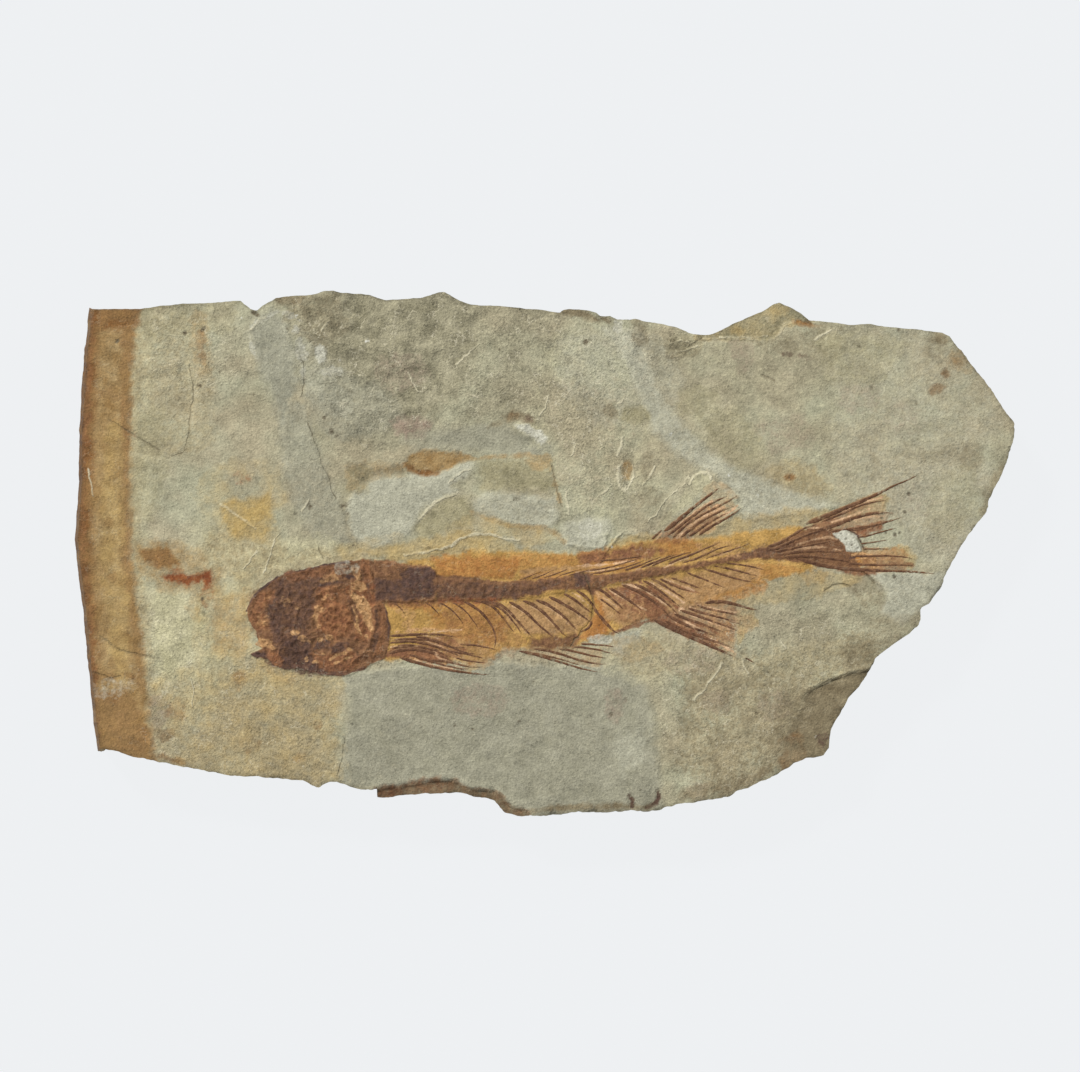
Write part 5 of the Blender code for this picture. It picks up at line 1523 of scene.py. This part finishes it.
    lamina = sum_of(0.0, (channels["middle"][0], 6.0), (channels["broad"][2], 5.0))
    part = add(tree, "ShaderNodeMath", {0: lamina}, operation="FRACT").outputs[0]
    whole = add(tree, "ShaderNodeMath", {0: lamina}, operation="FLOOR").outputs[0]
    riser = add(tree, "ShaderNodeMapRange", {0: part, 1: 0.40, 2: 0.60}, interpolation_type="SMOOTHSTEP")
    height = sum_of(0.0, (whole, 0.03), (riser.outputs[0], 0.03), (channels["fine"][0], 0.16),
                    (channels["grit"][1], 0.16), (channels["middle"][1], 0.28))
    height = add(tree, "ShaderNodeMath", {0: height, 1: coarse}, operation="MULTIPLY").outputs[0]
    if plated:
        height = sum_of(height, (shards, 0.06))
    # Painted highlight: each lamina riser is painted in the bright colour, here and there, and more on crusty stone.
    on_riser = add(tree, "ShaderNodeMapRange", {0: part, 1: 0.52, 2: 0.62, 3: 1.0, 4: 0.0}).outputs[0]
    below = add(tree, "ShaderNodeMapRange", {0: part, 1: 0.40, 2: 0.5}).outputs[0]
    glint = add(tree, "ShaderNodeMath", {0: on_riser, 1: below}, operation="MULTIPLY").outputs[0]
    where = add(tree, "ShaderNodeMapRange", {0: channels["middle"][2], 1: 0.5, 2: 0.6}).outputs[0]
    glint = add(tree, "ShaderNodeMath", {0: glint, 1: where}, operation="MULTIPLY").outputs[0]
    stony = add(tree, "ShaderNodeMapRange", {0: crust, 1: -0.9, 2: 1.0, 3: 0.0, 4: 0.55}).outputs[0]
    glint = add(tree, "ShaderNodeMath", {0: glint, 1: stony}, operation="MULTIPLY").outputs[0]
    light = (*colours.bright_light, 1)
    colour = add(tree, "ShaderNodeMix", {0: glint, 6: colour, 7: light}, data_type="RGBA").outputs[2]
    # Painted shade along the cracks and a painted highlight along the flake edges, each with a sunk or a raised line in
    # the bump height.
    for kind, strength, rise in (("crack", 0.5, -0.08), ("bright", 0.75, 0.08)):
        side = add(tree, "ShaderNodeAttribute", attribute_name=kind + "_side").outputs["Fac"]
        gate = add(tree, "ShaderNodeAttribute", attribute_name=kind + "_gate").outputs["Fac"]
        side = sum_of(side, (channels["fine"][1], 3.2))
        away = add(tree, "ShaderNodeMath", {0: side, 1: -1.6}, operation="ADD").outputs[0]
        away = add(tree, "ShaderNodeMath", {0: away}, operation="ABSOLUTE").outputs[0]
        line = add(tree, "ShaderNodeMapRange", {0: away, 1: 0.4, 2: 1.5, 3: 1.0, 4: 0.0}).outputs[0]
        open_gate = add(tree, "ShaderNodeMapRange", {0: gate, 1: 0.3, 2: 0.6}).outputs[0]
        patchy = add(tree, "ShaderNodeMapRange", {0: channels["middle"][2], 1: 0.4, 2: 0.56, 3: 0.2})
        share = add(tree, "ShaderNodeMath", {0: line, 1: open_gate}, operation="MULTIPLY").outputs[0]
        height = sum_of(height, (share, rise))
        share = add(tree, "ShaderNodeMath", {0: share, 1: patchy.outputs[0]}, operation="MULTIPLY").outputs[0]
        share = add(tree, "ShaderNodeMath", {0: share, 1: strength}, operation="MULTIPLY").outputs[0]
        toned = tones(kind, "fine", 0, 2.0)
        colour = add(tree, "ShaderNodeMix", {0: share, 6: colour, 7: toned}, data_type="RGBA").outputs[2]
    return colour, height, channels


def finish_material(made, tree, colour, height, roughness, ior):
    """Puts the colour, the bump and the gloss on the material's shader."""
    bump = add(tree, "ShaderNodeBump",
               {"Height": height, "Distance": bpy.context.scene.fossil_slab.bump, "Strength": 1.0})
    shader = tree.nodes["Principled BSDF"]
    tree.links.new(colour, shader.inputs["Base Color"])
    tree.links.new(bump.outputs[0], shader.inputs["Normal"])
    shader.inputs["Roughness"].default_value = roughness
    shader.inputs["IOR"].default_value = ior
    shader.inputs["Specular IOR Level"].default_value = 0.2  # open pores swallow most of the sheen
    return made


def new_material(name):
    """An empty material with a shader, and its node tree."""
    made = bpy.data.materials.new(name)
    made.use_nodes = True
    return made, made.node_tree


def stained_limestone():
    """Split limestone: chalky and dull, mottled by iron, with a fine pebbled grain that breaks the light."""
    known = bpy.data.materials.get("stained_limestone")
    if known:
        return known
    made, tree = new_material("stained_limestone")
    colour, height, channels = stone_nodes(tree)
    colours = bpy.context.scene.fossil_slab.colours
    wall = add(tree, "ShaderNodeAttribute", attribute_name="wall").outputs["Fac"]
    place = add(tree, "ShaderNodeTexCoord").outputs["Object"]
    flat = add(tree, "ShaderNodeMapping", {"Vector": place, "Scale": (0.05, 0.05, 1.0)}).outputs[0]
    beds = add(tree, "ShaderNodeTexNoise",
               {"Vector": flat, "Scale": 1 / (0.9 * MM), "Detail": 4, "Roughness": 0.65}).outputs[0]
    beds = add(tree, "ShaderNodeMapRange", {0: beds, 1: 0.36, 2: 0.64}).outputs[0]
    banded = add(tree, "ShaderNodeMix", {0: beds, 6: (*colours.side_dark, 1), 7: (*colours.side_light, 1)},
                 data_type="RGBA").outputs[2]
    spread = add(tree, "ShaderNodeMapRange", {0: channels["middle"][0], 1: 0.3, 2: 0.7, 3: 0.45, 4: 0.95})
    share = add(tree, "ShaderNodeMath", {0: wall, 1: spread.outputs[0]}, operation="MULTIPLY").outputs[0]
    colour = add(tree, "ShaderNodeMix", {0: share, 6: colour, 7: banded}, data_type="RGBA").outputs[2]
    return finish_material(made, tree, colour, height, 0.86, 1.5)


def fossil_film():
    """What is left of the fish's skin and skull: a thin brown to golden film on the stone, crumbled into
    shards of many browns where it was bone."""
    known = bpy.data.materials.get("fossil_film")
    if known:
        return known
    made, tree = new_material("fossil_film")
    colour, height, _ = stone_nodes(tree, plated=True)
    return finish_material(made, tree, colour, height, 0.7, 1.55)


def fossil_bone():
    """Mineralised bone: brown, slightly glossy where it is solid, with a painted highlight on the side towards the
    lamp, and worn to the stone's colour where the attribute worn is high."""
    known = bpy.data.materials.get("fossil_bone")
    if known:
        return known
    made, tree = new_material("fossil_bone")
    colours = bpy.context.scene.fossil_slab.colours
    colour, height, channels = stone_nodes(tree)
    spread = add(tree, "ShaderNodeMapRange", {0: channels["fine"][1], 1: 0.34, 2: 0.66}).outputs[0]
    bone = add(tree, "ShaderNodeMix", {0: spread, 6: (*colours.ray_dark, 1), 7: (*colours.ray_light, 1)},
               data_type="RGBA").outputs[2]
    # Painted highlight: the side of the bone towards the lamp is painted in the flesh's light tone.
    lit = add(tree, "ShaderNodeAttribute", attribute_name="lit_flank").outputs["Fac"]
    bone = add(tree, "ShaderNodeMix", {0: lit, 6: bone, 7: (*colours.flesh_light, 1)},
               data_type="RGBA").outputs[2]
    worn = add(tree, "ShaderNodeAttribute", attribute_name="worn").outputs["Fac"]
    patchy = add(tree, "ShaderNodeMath", {0: channels["fine"][2], 1: 3.0, 2: -1.5},
                 operation="MULTIPLY_ADD").outputs[0]
    patchy = add(tree, "ShaderNodeMath", {0: worn, 1: patchy}, use_clamp=True).outputs[0]
    colour = add(tree, "ShaderNodeMix", {0: patchy, 6: bone, 7: colour}, data_type="RGBA").outputs[2]
    return finish_material(made, tree, colour, height, 0.62, 1.6)


# ---------------------------------------------------------------------------------------------------------
# Pieces.


def outward(ring):
    """The unit normals of a counter-clockwise ring, smoothed over their neighbours."""
    along = np.roll(ring, -2, axis=0) - np.roll(ring, 2, axis=0)
    normal = np.stack([along[:, 1], -along[:, 0]], 1)
    kernel = np.array([1, 2, 3, 2, 1]) / 9
    for shift_axis in (0, 1):
        column = normal[:, shift_axis]
        normal[:, shift_axis] = sum(w * np.roll(column, k - 2) for k, w in enumerate(kernel))
    return normal / np.hypot(*normal.T)[:, None]


def build_slab():
    """The stone: a Coons patch between the four drawn edges carries the height of the ground, rings of
    points go down its walls with ledges and hollows for its beds, and four more turn under to a flat lid."""
    settings = bpy.context.scene.fossil_slab
    columns, rows = settings.columns, settings.rows
    inset = (0.38, -0.05, -0.1, -0.04)
    plan = outline_grid(columns, rows, inset)
    x, y = plan[..., 0].ravel(), plan[..., 1].ravel()
    rim = rim_of(rows, columns)
    border = plan.reshape(-1, 2)[rim]
    to_rim = to_line(x, y, np.vstack([border[::3], border[:1]]))[0]
    z = ground(x, y) - fish_bed(x, y)
    chip = 0.03 + 0.4 * np.clip(noise(x, y, 2.4, 61, 3), 0, 1)
    z = z - chip * np.exp(-to_rim / 0.22)
    face = np.stack([x, y, z], 1)
    values = stain_values(x, y)
    normal = outward(border)
    walked = np.concatenate([[0], np.cumsum(np.hypot(*(np.diff(border, axis=0)).T))])
    wall_rows = 22
    shares = np.linspace(0, 1, wall_rows + 1)[1:]
    foot = 0.35
    left_share = smooth((-58 - border[:, 0]) / 4) * smooth(-2.2 * normal[:, 0] - 0.6)
    low_share = smooth((-border[:, 1] - 30) / 3) * smooth((border[:, 0] + 3) / 2) * smooth((18 - border[:, 0]) / 3)
    rings = [rim]
    points = [face]
    count = len(face)
    for k, share in enumerate(shares):
        top = z[rim]
        level = top + (foot - top) * share
        bed = np.floor(level / 0.85 + 0.5 * noise(walked, walked * 0, 14, 62, 2))
        ledge = 0.32 * noise(walked, bed * 7.7, 5.0, 63, 3) + 0.12 * noise(walked, bed * 3.1, 1.2, 64, 2)
        bulge = np.exp(-((level - 4.2) / 2.2) ** 2)
        out = (left_share * 0.95 + low_share * 0.3) * smooth((FACE - level) / 1.6)
        out = out + (ledge * (1 - 0.85 * left_share) - 0.4) * smooth(share * 4) - 0.25 * (1 - bulge) * share
        ring = border + normal * out[:, None]
        points.append(np.column_stack([ring, level]))
        rings.append(count + np.arange(len(rim)))
        count += len(rim)
    last = border + normal * out[:, None]
    calm = sum(np.roll(last, k, axis=0) for k in range(-9, 10)) / 19
    middle = np.stack([np.clip(calm[:, 0], -44, 44), np.zeros(len(last))], 1)
    for share, level in ((0.02, 0.12), (0.05, 0.03), (0.1, 0.0), (0.25, 0.0), (0.5, 0.0), (0.75, 0.0)):
        ring = last + (calm - last) * min(share * 10, 1)
        ring = ring + (middle - ring) * share
        hollow = 0.25 * smooth(share * 6 - 0.4) * np.clip(noise(ring[:, 0], ring[:, 1], 18, 65, 3), 0, 1)
        points.append(np.column_stack([ring, level + hollow]))
        rings.append(count + np.arange(len(rim)))
        count += len(rim)
    rings = np.array(rings)
    points = np.vstack(points)
    quads = np.vstack([grid_quads(rows, columns), ring_quads(rings)])
    lid = rings[-1][::-1]
    below = len(points) - len(face)
    side = stain_values(points[len(face):, 0], points[len(face):, 1])
    under = points[len(face) + wall_rows * len(rim):, 0]
    stained = np.concatenate([np.tile(left_share, wall_rows), 0.5 * smooth((-59 - under) / 5)])
    fade = (1 - stained) * np.clip(0.3 * (z[rim].mean() - points[len(face):, 2]), 0, 1.4)
    for key in values:
        keep = 0.0 if key.endswith("gate") else -1.0
        blank = key not in ("rust", "umber", "grey", "khaki", "drab", "tan")
        values[key] = np.concatenate([values[key], np.full(below, keep) if blank else side[key] - fade])
    values["wall"] = np.concatenate([0.2 * np.exp(-to_rim / 0.15), 1 - 0.8 * stained])
    values["dark"][len(face):] = -1 + 1.15 * stained
    # Painted light and shade: where the face stands proud of its surroundings its grain is painted paler, and where it
    # is sunk darker.
    lift = 0.16 * proud(z.reshape(rows, columns), 3, 0.1).ravel()
    # Painted shade: the face is painted darker towards its rim, where the edge rounds over.
    lift = lift - np.clip(0.2 + 0.22 * noise(x, y, 5, 66, 3), 0.05, 0.36) * np.exp(-to_rim / 0.6)
    values["lift"] = np.concatenate([lift, np.zeros(below)])
    uv = slab_uv(points, quads, lid, (rows - 1) * (columns - 1), len(rim), wall_rows)
    made = mesh_object("limestone_slab", points, quads, [lid], values, uv)
    made.data.materials.append(stained_limestone())
    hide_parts(CAD_NODE)
    return made


def slab_uv(points, quads, lid, face_quads, around, wall_rows):
    """The bake's map, one value for each corner: the face as seen from above in the upper part of the square,
    the walls unrolled in two strips below it, and the underside at half size at the bottom."""
    low = points[:, :2].min(0)
    flat = (points[:, :2] - low) / np.ptp(points[:, 0]) * 0.98
    face = flat[quads[:face_quads]] + (0.01, 0.43)
    half = around // 2
    step = np.arange(around)[:, None]
    across = 0.01 + 0.98 * (step % half + np.array([0, 0, 1, 1])) / half
    down = np.arange(wall_rows)[:, None, None] + np.array([0, 1, 1, 0])
    drop = np.where(step < half, 0.41, 0.35) - 0.05 * down / wall_rows
    walls = np.stack([np.broadcast_to(across, drop.shape), drop], -1)
    under = flat[quads[face_quads + around * wall_rows:]] * 0.48 + 0.01
    last = flat[lid] * 0.48 + 0.01
    return np.vstack([part.reshape(-1, 2) for part in (face, walls, under, last)])


def patch_line(name, end):
    """One of the two long edges of a fine patch, in millimetres: 2 for the lower one, 3 for the upper one."""
    return placed(PATCHES[name][end])


def fish_bed(x, y):
    """How far the slab's own face is sunk under the fine patches, so that only theirs shows."""
    deep = np.zeros(x.shape)
    for name in PATCHES:
        ring = np.vstack([patch_line(name, 2), patch_line(name, 3)[::-1]])
        deep = np.maximum(deep, smooth((inside(x, y, ring) - 0.5) / 0.7))
    return 0.35 * deep


def patch(name, lift, margin):
    """A fine surface laid in the slab: a grid between a lower and an upper line, at the height of the ground
    plus lift. Its rim dives under the stone, and a wall and a flat lid close it below."""
    columns, rows = PATCHES[name][4:]
    s = np.linspace(0, 1, columns)
    t = np.linspace(0, 1, rows)
    low, high = patch_line(name, 2), patch_line(name, 3)
    x_line = low[0, 0] + s * (low[-1, 0] - low[0, 0])
    y_low = np.interp(x_line, low[:, 0], low[:, 1])
    y_high = np.interp(x_line, high[:, 0], high[:, 1])
    x = np.broadcast_to(x_line, (rows, columns)).ravel()
    y = (y_low + t[:, None] * (y_high - y_low)).ravel()
    edge = np.minimum.reduce([
        (s * (x_line[-1] - x_line[0]) + 0 * t[:, None]).ravel(),
        ((1 - s) * (x_line[-1] - x_line[0]) + 0 * t[:, None]).ravel(),
        (t[:, None] * (y_high - y_low)).ravel(),
        ((1 - t[:, None]) * (y_high - y_low)).ravel()])
    dive = 0.06 * (1 - smooth(edge / margin))
    z = ground(x, y) + lift(x, y) - dive + 0.012
    face = np.stack([x, y, z], 1)
    rim = rim_of(rows, columns)
    under = face[rim].copy()
    under[:, 2] = FACE - 1.6
    points = np.vstack([face, under])
    ring = len(face) + np.arange(len(rim))
    quads = np.vstack([grid_quads(rows, columns), ring_quads(np.array([rim, ring]))])
    values = stain_values(points[:, 0], points[:, 1])
    values["wall"] = np.zeros(len(points))
    # Painted light and shade: where the patch stands proud of its surroundings its grain is painted paler, and where it
    # is sunk darker.
    lift = 0.2 * proud(z.reshape(rows, columns), 4, 0.06).ravel()
    values["lift"] = np.concatenate([lift, np.zeros(len(rim))])
    values["plates"] = smooth(0.5 + 0.6 * np.maximum(inside(points[:, 0], points[:, 1], placed(HEAD)) / 0.5,
                                                     0.6 * values["bone"] - 0.6))
    span = points[:, :2].max(0) - points[:, :2].min(0)
    uv = (points[:, :2] - points[:, :2].min(0)) / span.max() * 0.98 + 0.01
    made = mesh_object(name, points, quads, [ring[::-1]], values, uv, math.radians(75))
    made.data.materials.append(fossil_film())
    return made


def build_trunk():
    """The trunk: a fine strip of the face with the film, the shoulder, the backbone and the paired fins."""
    return patch("trunk", trunk_relief, 0.25)


def build_tail():
    """The rear of the fish: a fine stretch of the face with the tail and the unpaired fins."""
    return patch("tail", trunk_relief, 0.25)


def build_head():
    """The head: a fine patch with its bony plates."""
    return patch("head", head_relief, 0.25)


def fine_bones(name, bones):
    """Thin bones: for each, a lens-shaped section is carried along a smooth path on the surface, tapered to
    the tip, and closed at both ends. Across it runs lit_flank, highest on the side to the light, where the bone
    gets a painted highlight; along it runs worn."""
    settings = bpy.context.scene.fossil_slab
    stations, around = 26, 10
    random = np.random.default_rng(len(name) * 7 + len(bones))
    turn = np.linspace(0, 2 * np.pi, around, endpoint=False)
    across = np.cos(turn)
    up = np.sin(turn)
    points, quads, lids, lit_flank, worn = [], [], [], [], []
    first = 0
    for width, drawn in bones:
        path = placed(drawn)
        steps = np.concatenate([[0], np.cumsum(np.hypot(*np.diff(path, axis=0).T))])
        at = np.linspace(0, 1, stations)
        order = min(3, len(path) - 1)
        px = np.polyval(np.polyfit(steps / steps[-1], path[:, 0], order), at)
        py = np.polyval(np.polyfit(steps / steps[-1], path[:, 1], order), at)
        wobble = 0.05 * noise(at * steps[-1], at * 0 + random.uniform(0, 90), 2.0, 81, 2)
        dx, dy = np.gradient(px), np.gradient(py)
        length = np.hypot(dx, dy)
        nx, ny = -dy / length, dx / length
        px, py = px + nx * wobble, py + ny * wobble
        taper = (1 - 0.62 * at ** 1.4) * np.sqrt(np.clip(at * 14, 0.05, 1)) * np.sqrt(np.clip((1 - at) * 8, 0.02, 1))
        breadth = 1.15 * width * UNIT / 2 * taper * (1 + 0.22 * noise(at * steps[-1], at * 0 + 3, 1.1, 82, 2))
        tall = settings.bone_thickness * breadth
        x = px[:, None] + nx[:, None] * across * breadth[:, None]
        y = py[:, None] + ny[:, None] * across * breadth[:, None]
        z = surface(px, py)[:, None] + 0.035 + up * tall[:, None] - 0.1 * tall[:, None]
        points.append(np.stack([x.ravel(), y.ravel(), z.ravel()], 1))
        index = first + np.arange(stations * around).reshape(stations, around)
        after = np.roll(index, -1, axis=1)
        quads.append(np.stack([index[:-1], after[:-1], after[1:], index[1:]], -1).reshape(-1, 4))
        lids += [index[0][::-1], index[-1]]
        # Painted highlight on the side of each bone that faces the lamp, from the upper left.
        towards_light = across * (nx * -0.64 + ny * 0.77)[:, None]
        lit_flank.append((0.3 * smooth((towards_light - 0.25) / 0.5)).ravel())
        fade = smooth((at - 0.6) / 0.5) * random.uniform(0.25, 0.65) + random.uniform(-0.15, 0.08)
        worn.append(np.repeat(fade, around))
        first += stations * around
    points = np.vstack(points)
    quads = np.vstack(quads)
    values = stain_values(points[:, 0], points[:, 1])
    values["lit_flank"] = np.concatenate(lit_flank)
    values["worn"] = np.concatenate(worn)
    span = points[:, :2].max(0) - points[:, :2].min(0)
    uv = (points[:, :2] - points[:, :2].min(0)) / span.max()
    made = mesh_object(name, points, quads, lids, values, uv, math.radians(80))
    made.data.materials.append(fossil_bone())
    return made


# ---------------------------------------------------------------------------------------------------------
# Stage.


def build_floor():
    """A plain pale floor that glows a little, as a lit table does, so that shadows on it stay faint."""
    size = 3.0
    mesh = bpy.data.meshes.new("floor")
    low = -0.00004
    corners = [(-size, -size, low), (size, -size, low), (size, size, low), (-size, size, low)]
    mesh.from_pydata(corners, [], [(0, 1, 2, 3)])
    floor = bpy.data.objects.new("floor", mesh)
    bpy.context.scene.collection.objects.link(floor)
    made, tree = new_material("pale_floor")
    shader = tree.nodes["Principled BSDF"]
    shader.inputs["Base Color"].default_value = (*linear("#232425"), 1)
    shader.inputs["Roughness"].default_value = 0.9
    shader.inputs["Specular IOR Level"].default_value = 0.0
    shader.inputs["Emission Color"].default_value = (*linear("#eef0f2"), 1)
    shader.inputs["Emission Strength"].default_value = 0.981
    mesh.materials.append(made)


def build_light():
    """Even light from everywhere, and one soft lamp from the upper left."""
    stage = bpy.context.scene.fossil_stage
    world = bpy.data.worlds.new("even_light")
    world.use_nodes = True
    background = world.node_tree.nodes["Background"]
    background.inputs["Color"].default_value = (*linear("#fbfcff"), 1)
    background.inputs["Strength"].default_value = stage.sky
    seen = add(world.node_tree, "ShaderNodeLightPath").outputs["Is Camera Ray"]
    strength = add(world.node_tree, "ShaderNodeMapRange", {0: seen, 3: stage.sky, 4: 0.886}).outputs[0]
    world.node_tree.links.new(strength, background.inputs["Strength"])
    bpy.context.scene.world = world
    lamp = bpy.data.lights.new("soft_lamp", "SUN")
    lamp.energy = stage.sun * math.pi / math.sin(stage.sun_elevation)
    lamp.angle = math.radians(9)
    lamp.color = (1.0, 0.985, 0.96)
    holder = bpy.data.objects.new("soft_lamp", lamp)
    flat = math.cos(stage.sun_elevation)
    towards = Vector((flat * math.cos(stage.sun_azimuth), flat * math.sin(stage.sun_azimuth),
                      math.sin(stage.sun_elevation)))
    holder.location = towards
    holder.rotation_mode = "QUATERNION"
    holder.rotation_quaternion = towards.to_track_quat("Z", "Y")
    bpy.context.scene.collection.objects.link(holder)


def build_camera():
    """A long lens that looks down on the face, leaning a little to the side of the belly."""
    stage = bpy.context.scene.fossil_stage
    data = bpy.data.cameras.new("camera")
    data.lens = stage.lens
    middle = placed([(DRAWING_WIDTH / 2, DRAWING_HEIGHT / 2)])[0]
    target = Vector((middle[0] * MM, (middle[1] - 0.15) * MM, FACE * MM))
    away = DRAWING_WIDTH * UNIT * MM * stage.lens / data.sensor_width
    back = Vector((0, -math.sin(stage.tilt), math.cos(stage.tilt)))
    camera = bpy.data.objects.new("camera", data)
    camera.location = target + back * away
    camera.rotation_euler = (stage.tilt, 0, 0)
    data.clip_start, data.clip_end = 0.01, 20
    bpy.context.scene.collection.objects.link(camera)
    bpy.context.scene.camera = camera
    bpy.context.scene.view_settings.view_transform = "Standard"
    bpy.context.scene.view_settings.look = "None"


# ---------------------------------------------------------------------------------------------------------
# Operators and panel.


class FOSSIL_OT_slab(bpy.types.Operator):
    """Make the limestone slab"""

    bl_idname = "fossil.slab"
    bl_label = "Limestone slab"

    def execute(self, context):
        build_slab()
        return {"FINISHED"}


class FOSSIL_OT_fish_surface(bpy.types.Operator):
    """Make the fish's head, trunk and tail"""

    bl_idname = "fossil.fish_surface"
    bl_label = "Head, trunk and tail"

    def execute(self, context):
        build_trunk()
        build_tail()
        build_head()
        return {"FINISHED"}


class FOSSIL_OT_fine_bones(bpy.types.Operator):
    """Make the ribs, the spines and the rays of every fin"""

    bl_idname = "fossil.fine_bones"
    bl_label = "Ribs, spines and fin rays"

    def execute(self, context):
        for name, bones in FINE_BONES.items():
            fine_bones(name, bones)
        return {"FINISHED"}


class FOSSIL_OT_stage(bpy.types.Operator):
    """Make the floor, the light and the camera"""

    bl_idname = "fossil.stage"
    bl_label = "Floor, light and camera"

    def execute(self, context):
        build_floor()
        build_light()
        build_camera()
        return {"FINISHED"}


OPERATORS = (FOSSIL_OT_slab, FOSSIL_OT_fish_surface, FOSSIL_OT_fine_bones, FOSSIL_OT_stage)


class FOSSIL_PT_panel(bpy.types.Panel):
    """Lists the settings and the steps"""

    bl_idname = "FOSSIL_PT_panel"
    bl_label = "Fossil fish slab"
    bl_space_type = "VIEW_3D"
    bl_region_type = "UI"
    bl_category = "Fossil"

    def draw(self, context):
        for group in (context.scene.fossil_slab, context.scene.fossil_stage):
            for key in group.__annotations__:
                self.layout.prop(group, key)
        for operator in OPERATORS:
            self.layout.operator(operator.bl_idname)


FossilSlabSettings.__annotations__["colours"] = PointerProperty(type=FossilColours)
CLASSES = (FossilColours, FossilSlabSettings, FossilStageSettings, *OPERATORS, FOSSIL_PT_panel)


def register():
    """Registers the classes and the scene's settings."""
    for one in CLASSES:
        bpy.utils.register_class(one)
    bpy.types.Scene.fossil_slab = PointerProperty(type=FossilSlabSettings)
    bpy.types.Scene.fossil_stage = PointerProperty(type=FossilStageSettings)


def unregister():
    """Takes back what register did."""
    del bpy.types.Scene.fossil_stage
    del bpy.types.Scene.fossil_slab
    for one in reversed(CLASSES):
        bpy.utils.unregister_class(one)


def main():
    """Makes everything: the slab, the fish's head, trunk and tail, the fine bones, and the floor, light and camera."""
    register()
    bpy.ops.fossil.slab()
    bpy.ops.fossil.fish_surface()
    bpy.ops.fossil.fine_bones()
    bpy.ops.fossil.stage()


if __name__ == "__main__":
    main()
